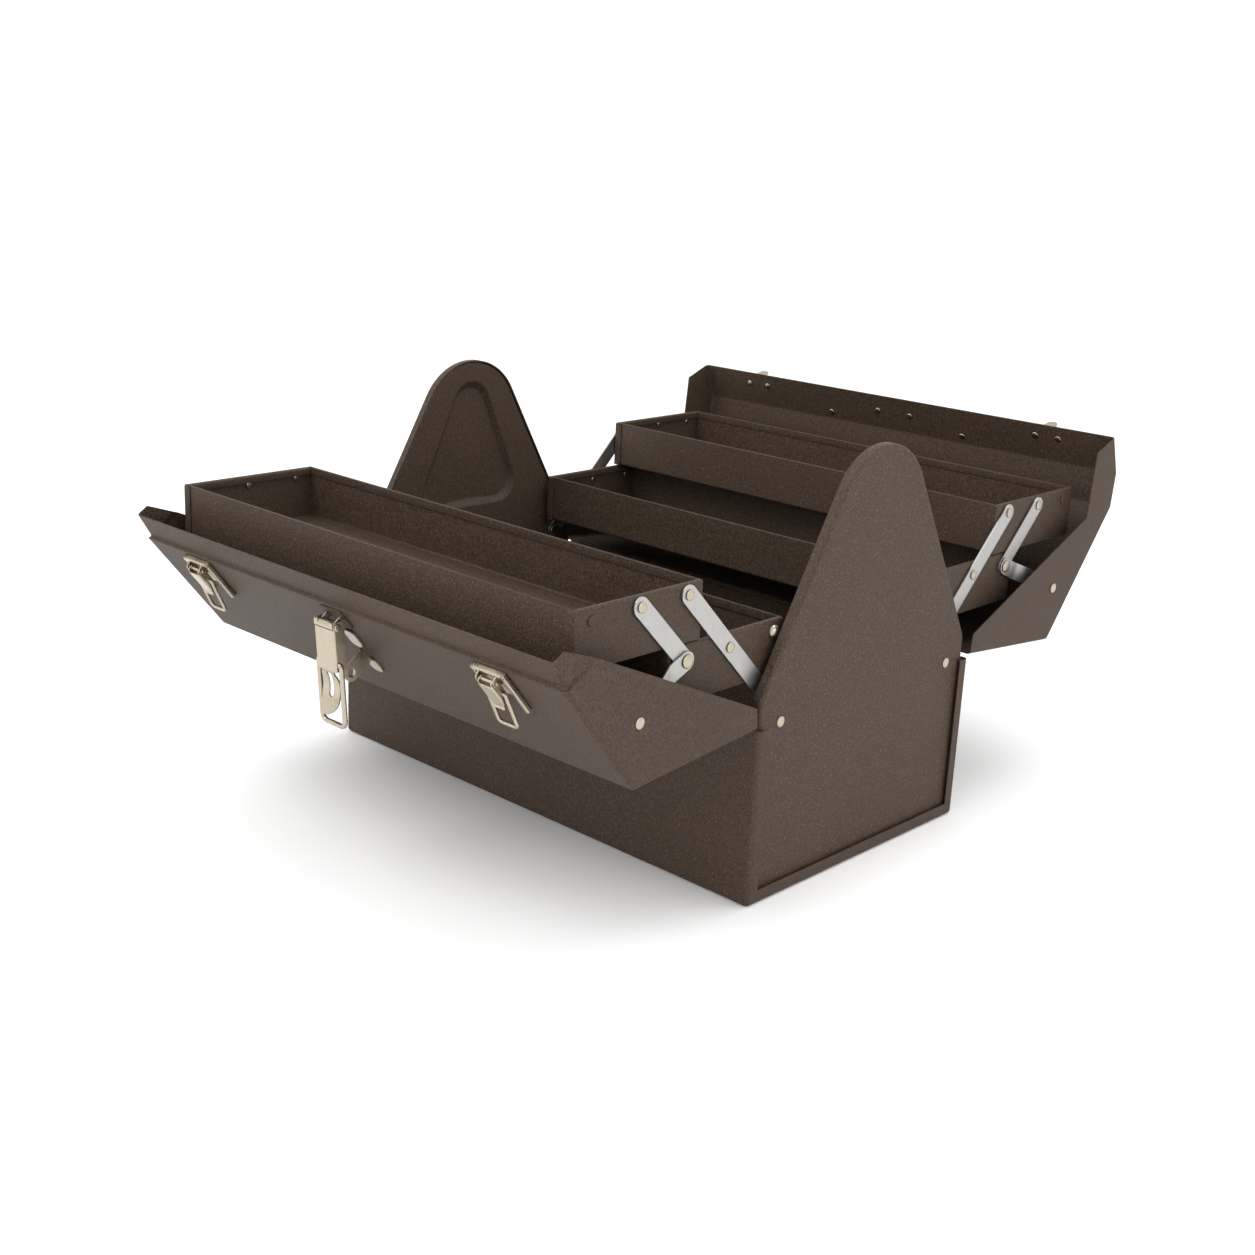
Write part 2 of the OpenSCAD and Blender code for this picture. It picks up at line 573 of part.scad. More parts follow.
// Carrying handle on the ridge
bracket_t = 1.5;
bracket_outer = [ridge_rear + bracket_t * [sin(roof_slope / 2), cos(roof_slope / 2)] / cos(roof_slope / 2)
                     - 14 * up_roof, ridge_rear - 14 * up_roof];
module handle_brackets() color(nickel) opened() difference() {
    union() for (s = [-1, 1]) {
        plate(s * handle_x - 12, 24) bracket_profile();
        plate(s * handle_x - 5, 10) {
            translate(ridge_eye) circle(6);
            translate([ridge_eye[0] - 6, ridge_rear[1]]) square([12, eye[1]]);
        }
    }
    rod_x(-half_l, half_l, handle_rod + fit, ridge_eye);
    translate([0, rear_tip[0], rear_tip[1]]) rotate([nose_slope, 0, 0]) nose_holes();
}
ridge_eye = [eye[0], ridge_rear[1] + eye[1]];
module bracket_profile() {
    line = [ridge_rear - 14 * up_roof, ridge_rear, ridge_front,
            ridge_front - 14 * [cos(nose_slope), sin(nose_slope)]];
    polygon(concat(line, reversed(inner_line(line, -bracket_t))));
}
handle_arm = handle_x - 16;
module handle() color(nickel) opened() translate([0, ridge_eye[0], ridge_eye[1]])
    rotate([lid_swing - 90, 0, 0]) {
        for (s = [-1, 1]) {
            rod_x(s > 0 ? handle_arm : -handle_x - 8, s > 0 ? handle_x + 8 : -handle_arm, handle_rod, [0, 0]);
            translate([s * handle_arm, 0, 0]) rotate([-90, 0, 0]) cylinder(h = handle_drop, r = handle_rod);
            for (y = [0, handle_drop]) translate([s * handle_arm, y, 0]) sphere(handle_rod);
        }
        rod_x(-handle_arm, handle_arm, handle_rod, [handle_drop, 0]);
        rod_x(-handle_arm + 12, handle_arm - 12, 9, [handle_drop, 0]);
    }

base_shell();
end_panel("left");  // end_panel_left
end_panel("right");  // end_panel_right
ear_liner("left");  // ear_liner_left
ear_liner("right");  // ear_liner_right
ear_rivets();
link_anchor_pins();
hinge_base_leaf("front");  // front_hinge_base_leaf
hinge_lid_leaf("front");  // front_hinge_lid_leaf
hinge_pin("front");  // front_hinge_pin
hinge_base_leaf("rear");  // rear_hinge_base_leaf
hinge_lid_leaf("rear");  // rear_hinge_lid_leaf
hinge_pin("rear");  // rear_hinge_pin
front_lid();
lid_link_rivets("front");  // front_lid_link_rivets
rear_lid();
lid_link_rivets("rear");  // rear_lid_link_rivets
tray_pan("front", "lower");  // front_lower_tray_pan
tray_end("front", "lower", "left");  // front_lower_tray_end_left
tray_end("front", "lower", "right");  // front_lower_tray_end_right
tray_rivets("front", "lower");  // front_lower_tray_rivets
tray_pan("front", "upper");  // front_upper_tray_pan
tray_end("front", "upper", "left");  // front_upper_tray_end_left
tray_end("front", "upper", "right");  // front_upper_tray_end_right
tray_rivets("front", "upper");  // front_upper_tray_rivets
tray_pan("rear", "lower");  // rear_lower_tray_pan
tray_end("rear", "lower", "left");  // rear_lower_tray_end_left
tray_end("rear", "lower", "right");  // rear_lower_tray_end_right
tray_rivets("rear", "lower");  // rear_lower_tray_rivets
tray_pan("rear", "upper");  // rear_upper_tray_pan
tray_end("rear", "upper", "left");  // rear_upper_tray_end_left
tray_end("rear", "upper", "right");  // rear_upper_tray_end_right
tray_rivets("rear", "upper");  // rear_upper_tray_rivets
long_links("front");  // front_long_links
short_links("front");  // front_short_links
lid_links("front");  // front_lid_links
long_links("rear");  // rear_long_links
short_links("rear");  // rear_short_links
lid_links("rear");  // rear_lid_links
latch_base("left");  // latch_base_left
latch_base("right");  // latch_base_right
latch_lever("left");  // latch_lever_left
latch_lever("right");  // latch_lever_right
latch_bail("left");  // latch_bail_left
latch_bail("right");  // latch_bail_right
latch_pins();
hasp_bracket();
hasp_staple();
hasp_lever();
hasp_bail();
strikes();
lock_plate();
handle_brackets();
handle();
rear_lid_rivets();
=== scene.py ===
import json
import math

import bmesh
import bpy
from mathutils import Matrix, Vector


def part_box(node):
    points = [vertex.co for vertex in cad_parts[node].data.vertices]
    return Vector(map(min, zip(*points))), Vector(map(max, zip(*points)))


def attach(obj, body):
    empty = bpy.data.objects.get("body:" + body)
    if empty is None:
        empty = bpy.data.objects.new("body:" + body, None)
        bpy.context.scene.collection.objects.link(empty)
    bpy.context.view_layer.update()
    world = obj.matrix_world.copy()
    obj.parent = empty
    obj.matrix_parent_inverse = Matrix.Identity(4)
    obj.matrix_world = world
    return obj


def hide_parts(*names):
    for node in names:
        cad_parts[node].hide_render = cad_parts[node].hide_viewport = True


# A cantilever toolbox in sheet steel, shown open. Places and sizes come from the CAD frame where it states
# them, and otherwise from the constants below, which repeat the CAD's own.
# Lengths are millimetres in the row frame: X along the box, front at -Y, Z up.
# Outlines across the box are (y, z) points. Both sides are drawn at +Y, and the front is the mirror image.
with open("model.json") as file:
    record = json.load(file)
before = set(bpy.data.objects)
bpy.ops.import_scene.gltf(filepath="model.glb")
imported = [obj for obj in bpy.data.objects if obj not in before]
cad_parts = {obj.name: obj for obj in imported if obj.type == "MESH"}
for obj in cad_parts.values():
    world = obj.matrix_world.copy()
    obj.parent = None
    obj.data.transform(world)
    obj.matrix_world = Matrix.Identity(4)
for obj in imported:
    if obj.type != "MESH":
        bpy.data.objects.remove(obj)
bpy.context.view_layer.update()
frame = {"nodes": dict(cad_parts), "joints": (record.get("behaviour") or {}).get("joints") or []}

MM = 0.001
JOINTS = {joint["name"]: joint for joint in frame["joints"]}


def joint_at(name):
    """(y, z) of a joint's axis."""
    pos = JOINTS[name]["pos_m"]
    return Vector((pos[1], pos[2])) / MM


def span(node, axis):
    """Lowest and highest coordinate of a CAD node."""
    low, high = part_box(node)
    return low[axis] / MM, high[axis] / MM


# ---------------- sizes
# Base and ears
SHEET = 1.2
HALF_L = span("base_shell", 0)[1]
HALF_D = span("base_shell", 1)[1]
BASE_H = span("base_shell", 2)[1]
HINGE = joint_at("rear_lid_hinge")
SWING = JOINTS["rear_lid_hinge"]["range_deg"][1]
PANEL_X = span("end_panel_right", 0)[1]
RIM_X = span("end_panel_right", 0)[0]
EAR_TOP = span("end_panel_right", 2)[1]
LINER_X = span("ear_liner_right", 0)[0]
EAR_R = 60
EAR_HALF = 139.5
EAR_KNEE = 168
EAR_RIVET = Vector((114, 148))

# Lids, drawn closed
ROOF_SLOPE = math.radians(33.5)
UP_ROOF = Vector((-math.cos(ROOF_SLOPE), math.sin(ROOF_SLOPE)))
OFF_ROOF = Vector((math.sin(ROOF_SLOPE), math.cos(ROOF_SLOPE)))
LID_FOOT = HINGE.y + 3
CORNER = Vector((HALF_D, HINGE.y + 138))
FRONT_ROOF = 116
FOLD = CORNER + FRONT_ROOF * UP_ROOF
RIDGE_REAR = CORNER + 147 * UP_ROOF
RIDGE_FRONT = Vector((-12, RIDGE_REAR.y))
REAR_TIP = Vector((-46, 352.2))
NOSE_SLOPE = math.atan2(RIDGE_FRONT.y - REAR_TIP.y, RIDGE_FRONT.x - REAR_TIP.x)
FLANGE_FOOT = Vector((HALF_D - 18.5, LID_FOOT))
JOG = 3
LIP_W = 22
END_JOG = 1.6

# Pivots of the linkage and the trays' ends
ANCHOR = joint_at("rear_long_link_swing")
LOWER_PIVOT = joint_at("rear_lower_tray_level")
UPPER_PIVOT = joint_at("rear_upper_tray_level")
LOWER_OUTER = joint_at("rear_short_link_swing")
UPPER_OUTER = UPPER_PIVOT + LOWER_OUTER - LOWER_PIVOT
LID_PIVOT = Vector((279.3, 187.2))
TRAY_X = span("rear_lower_tray_end_right", 0)[1]
TRAY_T = 1

# Rounded corners
ARC_STEPS = 6
ARC_POINTS = ARC_STEPS + 1
BEND_STEP = 15


# ---------------- plane outlines
def normal_of(a, b):
    """Unit vector to the left of the way from a to b."""
    d = (b - a).normalized()
    return Vector((-d.y, d.x))


def mitre(points, d, closed=False):
    """Points moved d to the left of the line that they make."""
    count = len(points)
    moved = []
    for i, point in enumerate(points):
        before = normal_of(points[i - 1], point) if closed or i > 0 else None
        after = normal_of(point, points[(i + 1) % count]) if closed or i < count - 1 else None
        one, other = before or after, after or before
        moved.append(point + (one + other) * d / (1 + one.dot(other)))
    return moved


def turn(a, b, c):
    """Positive where the line a, b, c turns left."""
    return (b - a).cross(c - b)


def mid_corner(i):
    """Index of the middle of corner i, counted from 0, in an open line rounded with ARC_STEPS."""
    return 1 + i * ARC_POINTS + ARC_POINTS // 2


def bend_angles():
    """Angles of the stations round a quarter bend."""
    return [math.radians(BEND_STEP * k) for k in range(90 // BEND_STEP + 1)]


def round_off(points, radii, closed=False, steps=ARC_STEPS):
    """The same line with its corners as arcs of steps + 1 points. An arc wider than 20 mm gets more."""
    count = len(points)
    line = []
    for i, point in enumerate(points):
        if not closed and i in (0, count - 1):
            line.append(point.copy())
            continue
        u = (points[i - 1] - point).normalized()
        v = (points[(i + 1) % count] - point).normalized()
        half = math.acos(max(-1, min(1, u.dot(v)))) / 2
        radius = radii[i] if closed else radii[i - 1]
        middle = (u + v).normalized()
        centre = point + middle * radius / math.sin(half)
        arm = point + u * radius / math.tan(half) - centre
        sweep = (math.pi - 2 * half) * (1 if u.cross(v) < 0 else -1)
        number = steps if radius < 20 else 4 * steps
        for k in range(number + 1):
            a = sweep * k / number
            line.append(centre + Vector((arm.x * math.cos(a) - arm.y * math.sin(a),
                                         arm.x * math.sin(a) + arm.y * math.cos(a))))
    return line


def inset(points, radii, d, closed=False, steps=ARC_STEPS, most=99.0):
    """round_off() of the line moved d to its left, with each arc's centre kept. No arc is wider than most."""
    count = len(points)
    corners = range(count) if closed else range(1, count - 1)
    eased = []
    for k, i in enumerate(corners):
        side = 1 if turn(points[i - 1], points[i], points[(i + 1) % count]) > 0 else -1
        eased.append(min(max(radii[k] - side * d, 0.15), most))
    return round_off(mitre(points, d, closed), eased, closed, steps)


def bent_sheet(points, radii, thickness, steps=5):
    """Closed outline of a sheet seen on its edge. points run along its right-hand face."""
    return inset(points, radii, 0, steps=steps) + inset(points, radii, thickness, steps=steps)[::-1]


def polar(length, degrees):
    return Vector((length * math.cos(math.radians(degrees)), length * math.sin(math.radians(degrees))))


def disc(centre, radius, count=32, start=0.0, sweep=360.0):
    """Points round a circle or along an arc of it."""
    return [centre + polar(radius, start + sweep * k / count) for k in range(count)]


def slot_outline(a, b, radius, count=12):
    """A bar with round ends from a to b."""
    lean = math.degrees(math.atan2((b - a).y, (b - a).x))
    return ([a + polar(radius, lean + 90 + 180 * k / count) for k in range(count + 1)]
            + [b + polar(radius, lean - 90 + 180 * k / count) for k in range(count + 1)])


# ---------------- places
def mirror(side):
    return -1 if side == "front" else 1


def at_side(side):
    """Drawn at +Y, mirrored for the front."""
    return lambda x, y, z: Vector((x, mirror(side) * y, z))


def swung(y, z, degrees):
    """A point turned about the hinge at +Y."""
    a = math.radians(degrees)
    dy, dz = y - HINGE.x, z - HINGE.y
    return HINGE.x + dy * math.cos(a) - dz * math.sin(a), HINGE.y + dy * math.sin(a) + dz * math.cos(a)


def on_lid(side):
    """Drawn closed at +Y, carried to the open place."""
    def place(x, y, z):
        py, pz = swung(y, z, -SWING)
        return Vector((x, mirror(side) * py, pz))
    return place


def tilted(place, origin, degrees, x0=0):
    """A local frame: Y and Z turned by degrees about X at origin, then placed."""
    a = math.radians(degrees)

    def inner(x, y, z):
        return place(x + x0, origin[0] + y * math.cos(a) - z * math.sin(a),
                     origin[1] + y * math.sin(a) + z * math.cos(a))
    return inner


def at_end(place, end):
    """Drawn at the right end, mirrored for the left one."""
    s = -1 if end == "left" else 1
    return lambda x, y, z: place(s * x, y, z)


ROOF_FRAME = tilted(on_lid("front"), FOLD, -math.degrees(ROOF_SLOPE))
NOSE_FRAME = tilted(on_lid("rear"), REAR_TIP, math.degrees(NOSE_SLOPE))


# ---------------- meshes
def smooth_mesh(name, verts, faces, sheet):
    """A mesh of smooth faces. Those of a closed solid are turned outwards; a sheet's stay as they are."""
    mesh = bpy.data.meshes.new(name)
    mesh.from_pydata([v * MM for v in verts], [], faces)
    work = bmesh.new()
    work.from_mesh(mesh)
    bmesh.ops.remove_doubles(work, verts=work.verts, dist=0.00001)
    if not sheet:
        bmesh.ops.recalc_face_normals(work, faces=work.faces)
    for face in work.faces:
        face.smooth = True
    work.to_mesh(mesh)
    work.free()
    return mesh


def new_object(name, verts, faces, material, body, nodes, bevel=0.3, thickness=0.0):
    """One piece that rides on a body and stands for CAD nodes. thickness makes a sheet of an open surface."""
    mesh = smooth_mesh(name, verts, faces, bool(thickness))
    obj = bpy.data.objects.new(name, mesh)
    bpy.context.scene.collection.objects.link(obj)
    mesh.materials.append(material)
    if thickness:
        solid = obj.modifiers.new("thickness", "SOLIDIFY")
        solid.thickness = thickness * MM
        solid.offset = -1
        solid.use_even_offset = True
    if bevel:
        edge = obj.modifiers.new("edges", "BEVEL")
        edge.width = bevel * MM
        edge.segments = 2
        edge.limit_method = "ANGLE"
        edge.angle_limit = math.radians(40)
        edge.use_clamp_overlap = True
    flat = obj.modifiers.new("normals", "WEIGHTED_NORMAL")
    flat.keep_sharp = True
    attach(obj, body)
    if nodes:
        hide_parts(*nodes)
    return obj


class Form:
    """Collects closed solids, drawn in a local frame, into one mesh."""

    def __init__(self, place):
        self.place = place
        self.verts = []
        self.faces = []

    def add(self, verts, faces):
        start = len(self.verts)
        self.verts += verts
        self.faces += [[start + i for i in face] for face in faces]

    def rings(self, rings, capped=True, looped=False):
        """Joins closed rings of the same number of points."""
        n = len(rings[0])
        verts = [p for ring in rings for p in ring]
        count = len(rings)
        faces = []
        for k in range(count if looped else count - 1):
            a, b = k * n, (k + 1) % count * n
            faces += [[a + i, a + (i + 1) % n, b + (i + 1) % n, b + i] for i in range(n)]
        if capped and not looped:
            faces += [list(range(n)), list(range((count - 1) * n, count * n))]
        self.add(verts, faces)

    def prism(self, outline, x0, x1):
        """A (y, z) outline extruded along X."""
        self.rings([[self.place(x, p.x, p.y) for p in outline] for x in (x0, x1)])

    def slab(self, outline, z0, z1):
        """An (x, y) outline extruded along Z."""
        self.rings([[self.place(p.x, p.y, z) for p in outline] for z in (z0, z1)])

    def lathe(self, profile, x, centre, axis="x", count=28):
        """(distance along the axis, radius) points turned about a line through centre."""
        rings = []
        for along, radius in profile:
            circle = disc(Vector((0, 0)), max(radius, 0.01), count)
            if axis == "x":
                rings.append([self.place(x + along, centre[0] + p.x, centre[1] + p.y) for p in circle])
            else:
                rings.append([self.place(x + p.x, centre[0] + p.y, centre[1] + along) for p in circle])
        self.rings(rings)

    def tube(self, path, radius, looped=False, count=14):
        """A round wire along points of the local frame."""
        points = [Vector(p) for p in path]
        rings = []
        n = len(points)
        side = None
        for i, point in enumerate(points):
            a = points[i - 1] if looped or i > 0 else point
            b = points[(i + 1) % n] if looped or i < n - 1 else point
            along = (b - a).normalized()
            if side is None:
                side = along.orthogonal().normalized()
            side = (side - along * side.dot(along)).normalized()
            other = along.cross(side)
            rings.append([self.place(*(point + radius * (math.cos(t) * side + math.sin(t) * other)))
                          for t in (2 * math.pi * k / count for k in range(count))])
        self.rings(rings, looped=looped)

    def make(self, name, material, body, nodes, bevel=0.25):
        return new_object(name, self.verts, self.faces, material, body, nodes, bevel)


def shell(name, points, radii, half, place, material, body, nodes, bend=0.0, edge=None, draw_in=None,
          thickness=SHEET, bevel=0.3, most=99.0):
    """A sheet bent along a line of (y, z) points and swept along X, with its ends turned in as flanges.

    points has the inside on its left. edge(k, n) gives the flange's free edge for point k of n, and
    draw_in(k, n) moves the end at that point inwards. most caps the radii inside the end bends."""
    line = inset(points, radii, 0)
    n = len(line)
    moved = [draw_in(k, n) if draw_in else 0 for k in range(n)]
    ends = []
    if edge:
        ends.append([(half - moved[k], edge(k, n)) for k in range(n)])
    for a in bend_angles() if bend else [0.0]:
        row = inset(points, radii, bend * (1 - math.sin(a)), most=most) if bend else line
        x = half - bend * (1 - math.cos(a))
        ends.append([(x - moved[k], row[k]) for k in range(n)])
    rows = [[(-x, p) for x, p in row] for row in ends] + [row for row in ends[::-1]]
    verts = [place(x, p.x, p.y) for row in rows for x, p in row]
    faces = []
    for r in range(len(rows) - 1):
        faces += [[r * n + k, r * n + k + 1, (r + 1) * n + k + 1, (r + 1) * n + k] for k in range(n - 1)]
    middle = len(ends) - 1
    a, b, c = verts[middle * n], verts[middle * n + 1], verts[(middle + 1) * n]
    outward = -normal_of(line[0], line[1])
    direction = place(0, line[0].x + outward.x, line[0].y + outward.y) - place(0, line[0].x, line[0].y)
    if (b - a).cross(c - a).dot(direction) < 0:
        faces = [face[::-1] for face in faces]
    return new_object(name, verts, faces, material, body, nodes, bevel, thickness)


# ---------------- materials
def node_material(name):
    """A new material, its tree, its shader and its object coordinates."""
    material = bpy.data.materials.new(name)
    material.use_nodes = True
    tree = material.node_tree
    shader = tree.nodes["Principled BSDF"]
    coords = tree.nodes.new("ShaderNodeTexCoord")
    return material, tree, shader, coords.outputs["Object"]


def noise(tree, coords, scale, detail=3.0, roughness=0.55):
    node = tree.nodes.new("ShaderNodeTexNoise")
    node.inputs["Scale"].default_value = scale
    node.inputs["Detail"].default_value = detail
    node.inputs["Roughness"].default_value = roughness
    tree.links.new(coords, node.inputs["Vector"])
    return node.outputs["Fac"]


def ramp(tree, value, stops):
    """A colour ramp: stops are (position, colour)."""
    node = tree.nodes.new("ShaderNodeValToRGB")
    while len(node.color_ramp.elements) < len(stops):
        node.color_ramp.elements.new(0.5)
    for element, (position, colour) in zip(node.color_ramp.elements, stops):
        element.position = position
        element.color = (*colour, 1)
    tree.links.new(value, node.inputs["Fac"])
    return node.outputs["Color"]


def spread(tree, value, low, high, start=0.0, end=1.0):
    """value carried from start to end onto low to high."""
    node = tree.nodes.new("ShaderNodeMapRange")
    node.inputs["From Min"].default_value = start
    node.inputs["From Max"].default_value = end
    node.inputs["To Min"].default_value = low
    node.inputs["To Max"].default_value = high
    tree.links.new(value, node.inputs["Value"])
    return node.outputs["Result"]


def mix(tree, factor, a, b):
    node = tree.nodes.new("ShaderNodeMix")
    node.data_type = "RGBA"
    tree.links.new(factor, node.inputs["Factor"])
    tree.links.new(a, node.inputs["A"])
    tree.links.new(b, node.inputs["B"])
    return node.outputs["Result"]


def add_bump(tree, shader, height, strength, distance):
    node = tree.nodes.new("ShaderNodeBump")
    node.inputs["Strength"].default_value = strength
    node.inputs["Distance"].default_value = distance
    tree.links.new(height, node.inputs["Height"])
    tree.links.new(node.outputs["Normal"], shader.inputs["Normal"])


def combine(tree, operation, a, b):
    node = tree.nodes.new("ShaderNodeMath")
    node.operation = operation
    tree.links.new(a, node.inputs[0])
    tree.links.new(b, node.inputs[1])
    return node.outputs["Value"]


def scattered_painted_glints(tree, coords):
    """Small soft dots, on about a fifth of the cells: painted glints that stand in for the enamel's sparkle.
    """
    cells = tree.nodes.new("ShaderNodeTexVoronoi")
    cells.inputs["Scale"].default_value = 900
    tree.links.new(coords, cells.inputs["Vector"])
    chosen = tree.nodes.new("ShaderNodeSeparateColor")
    tree.links.new(cells.outputs["Color"], chosen.inputs["Color"])
    dot = spread(tree, cells.outputs["Distance"], 1, 0, 0.2, 0.45)
    some = spread(tree, chosen.outputs["Red"], 0, 1, 0.78, 1.0)
    return combine(tree, "MULTIPLY", dot, some)


def wrinkle_enamel(name, dark, light, glint_colour):
    """Wrinkle-finish enamel: fine hard wrinkles under scattered pale dots, which are painted glints standing
    in for its sparkle.
    """
    material, tree, shader, coords = node_material(name)
    fine = noise(tree, coords, 620, 5.0, 0.62)
    broad = noise(tree, coords, 14, 3.0)
    colour = mix(tree, spread(tree, broad, 0.3, 0.7, 0.3, 0.7),
                 ramp(tree, fine, [(0.35, dark), (0.62, light)]),
                 ramp(tree, fine, [(0.38, [c * 0.9 for c in dark]), (0.7, light)]))
    # Painted glints: pale dots mixed into the colour stand in for the enamel's sparkle.
    glint_mask = scattered_painted_glints(tree, coords)
    glint_tone = ramp(tree, fine, [(0.3, glint_colour), (0.7, [c * 1.2 for c in glint_colour])])
    tree.links.new(mix(tree, glint_mask, colour, glint_tone), shader.inputs["Base Color"])
    add_bump(tree, shader, combine(tree, "ADD", fine, glint_mask), 0.5, 0.0004)
    tree.links.new(spread(tree, fine, 0.46, 0.7, 0.35, 0.65), shader.inputs["Roughness"])
    shader.inputs["Specular IOR Level"].default_value = 0.2
    return material


def plated_steel(name, dark, light, roughness, grain):
    """Plated steel with a faint grain, cloudy colour and scuffs."""
    material, tree, shader, coords = node_material(name)
    stretch = tree.nodes.new("ShaderNodeMapping")
    stretch.inputs["Scale"].default_value = (1, 1, grain)
    tree.links.new(coords, stretch.inputs["Vector"])
    streaks = noise(tree, stretch.outputs["Vector"], 500, 4.0, 0.6)
    clouds = noise(tree, coords, 60, 4.0)
    colour = mix(tree, spread(tree, streaks, 0.2, 0.8, 0.35, 0.65),
                 ramp(tree, clouds, [(0.3, dark), (0.65, light)]),
                 ramp(tree, clouds, [(0.25, light), (0.8, dark)]))
    tree.links.new(colour, shader.inputs["Base Color"])
    uneven = spread(tree, clouds, roughness - 0.08, roughness + 0.1, 0.3, 0.7)
    tree.links.new(uneven, shader.inputs["Roughness"])
    add_bump(tree, shader, streaks, 0.12, 0.0001)
    shader.inputs["Metallic"].default_value = 1.0
    return material


BROWN_DARK = (0.034, 0.022, 0.0138)
BROWN_LIGHT = (0.076, 0.0525, 0.0355)
# Colour of the painted glints that stand in for the enamel's sparkle.
BROWN_PAINTED_GLINT = (0.16, 0.118, 0.085)
ENAMEL = wrinkle_enamel("wrinkle_enamel", BROWN_DARK, BROWN_LIGHT, BROWN_PAINTED_GLINT)
ZINC = plated_steel("zinc_plate", (0.33, 0.325, 0.315), (0.49, 0.48, 0.46), 0.42, 0.15)
NICKEL = plated_steel("nickel_plate", (0.31, 0.268, 0.20), (0.52, 0.46, 0.365), 0.3, 1.0)


# ---------------- base
def base_shell():
    """Front wall, bottom and rear wall, with a narrow flange framing each end."""
    flange_w = 12
    corners = [Vector((-HALF_D, BASE_H)), Vector((-HALF_D, 0)), Vector((HALF_D, 0)), Vector((HALF_D, BASE_H))]
    radii = [4, 4]
    free = inset(corners, radii, flange_w)
    shell("base_shell_sheet", corners, radii, HALF_L, at_side("rear"), ENAMEL, "base", ["base_shell"],
          bend=4, edge=lambda k, n: free[k])


def ear_corners():
    """Corners and radii of the end panel's outline, up the right side, over the ear and down the left."""
    centre = Vector((0, EAR_TOP - EAR_R))
    knee = Vector((EAR_HALF, EAR_KNEE))
    reach = (knee - centre).length
    slope = math.pi - math.atan2(centre.y - knee.y, knee.x) - math.asin(EAR_R / reach)
    apex = Vector((0, knee.y - knee.x * math.tan(slope)))
    low = HALF_D - SHEET
    right = [Vector((low, SHEET)), Vector((low, BASE_H - 1)), Vector((EAR_HALF, BASE_H - 1)), knee]
    left = [Vector((-p.x, p.y)) for p in right[::-1]]
    side_radii = [4, 1, 0.5, 10]
    return right + [apex] + left, side_radii + [EAR_R] + side_radii[::-1]


def end_panel(end):
    """A pressed pan: the face, then a bend, then the rim turned inwards."""
    corners, radii = ear_corners()
    place = at_end(at_side("rear"), end)
    bend = 3
    rows = []
    for a in bend_angles():
        outline = inset(corners, radii, bend * (1 - math.sin(a)), closed=True)
        rows.append([place(PANEL_X - bend * (1 - math.cos(a)), p.x, p.y) for p in outline])
    rows.append([place(RIM_X, p.x, p.y) for p in inset(corners, radii, 0, closed=True)])
    sheet_rings("end_panel_" + end + "_sheet", rows, end == "left", "base", ["end_panel_" + end])


def sheet_rings(name, rows, flip, body, nodes, thickness=SHEET):
    """A sheet made of closed rings whose first ring is filled. The outside faces the first ring's side."""
    n = len(rows[0])
    faces = [list(range(n))]
    for r in range(len(rows) - 1):
        here, there = r * n, (r + 1) * n
        faces += [[there + k, there + (k + 1) % n, here + (k + 1) % n, here + k] for k in range(n)]
    if flip:
        faces = [face[::-1] for face in faces]
    new_object(name, [v for row in rows for v in row], faces, ENAMEL, body, nodes, 0.25, thickness)


def hit(outline, centre, angle):
    """Distance from centre to the outline along angle."""
    ray = Vector((math.cos(angle), math.sin(angle)))
    best = 0
    for i, a in enumerate(outline):
        b = outline[(i + 1) % len(outline)]
        edge = b - a
        cross = ray.cross(edge)
        if abs(cross) < 1e-9:
            continue
        far = (a - centre).cross(edge) / cross
        share = (a - centre).cross(ray) / cross
        if -1e-6 <= share <= 1 + 1e-6 and far > best:
            best = far
    return best


LINER_FOOT = 96
POCKET = [Vector((-72, 207)), Vector((72, 207)), Vector((0, 366))]
POCKET_RADII = [22, 22, 24]
POCKET_CENTRE = Vector((0, 246))
POCKET_DEPTH = 5
POCKET_WALL = 9
# The liner's rolled edge: (distance back from the outline, x from the face)
ROLLED_EDGE = [(0, 2.6), (0.8, 0.7), (2.6, 0)]


def liner_ray(ray, far, near):
    """(point, x from the face) along a ray from the pocket's centre: edge, pocket wall, pocket floor."""
    points = [(POCKET_CENTRE + (far - back) * ray, x) for back, x in ROLLED_EDGE]
    for step in range(12):
        t = step / 11
        point = POCKET_CENTRE + (near + 1 - POCKET_WALL * t) * ray
        points.append((point, POCKET_DEPTH * (t * t * (3 - 2 * t))))
    for share in (0.6, 0.3, 0.1):
        points.append((POCKET_CENTRE + share * (near - POCKET_WALL) * ray, POCKET_DEPTH))
    return points


def ear_liner(end):
    """The ear's inner plate: rolled edge, flat face, and a rounded triangular pocket pressed outwards."""
    corners, radii = ear_corners()
    outer = inset(corners, radii, SHEET + 0.25, closed=True)
    pocket = round_off(POCKET, POCKET_RADII, closed=True, steps=10)
    place = at_end(at_side("rear"), end)
    count = 160
    columns = []
    for k in range(count):
        angle = 2 * math.pi * k / count
        ray = Vector((math.cos(angle), math.sin(angle)))
        far = hit(outer, POCKET_CENTRE, angle)
        if ray.y < 0:
            far = min(far, (POCKET_CENTRE.y - LINER_FOOT) / -ray.y)
        points = liner_ray(ray, far, hit(pocket, POCKET_CENTRE, angle))
        columns.append([place(LINER_X + x, *point) for point, x in points])
    rows = [list(row) for row in zip(*columns)]
    sheet_rings("ear_liner_" + end + "_sheet", rows[::-1], end == "right", "base", ["ear_liner_" + end], 1.1)


# A rivet head: (share of its height, share of its radius)
HEAD_PROFILE = [(0.45, 1), (0.7, 0.94), (0.93, 0.76), (1, 0.45), (1.02, 0)]


def rivet(form, x, centre, radius, height, s):
    """A flat-domed rivet head on a face at x. It rises along X if s is 1, and against it if s is -1."""
    foot = [(-0.2 * s, radius * 0.84), (0.2 * s, radius * 0.84), (0.22 * s, radius * 0.97)]
    dome = [(rise * height * s, radius * wide) for rise, wide in HEAD_PROFILE]
    form.lathe(foot + dome, x, centre)


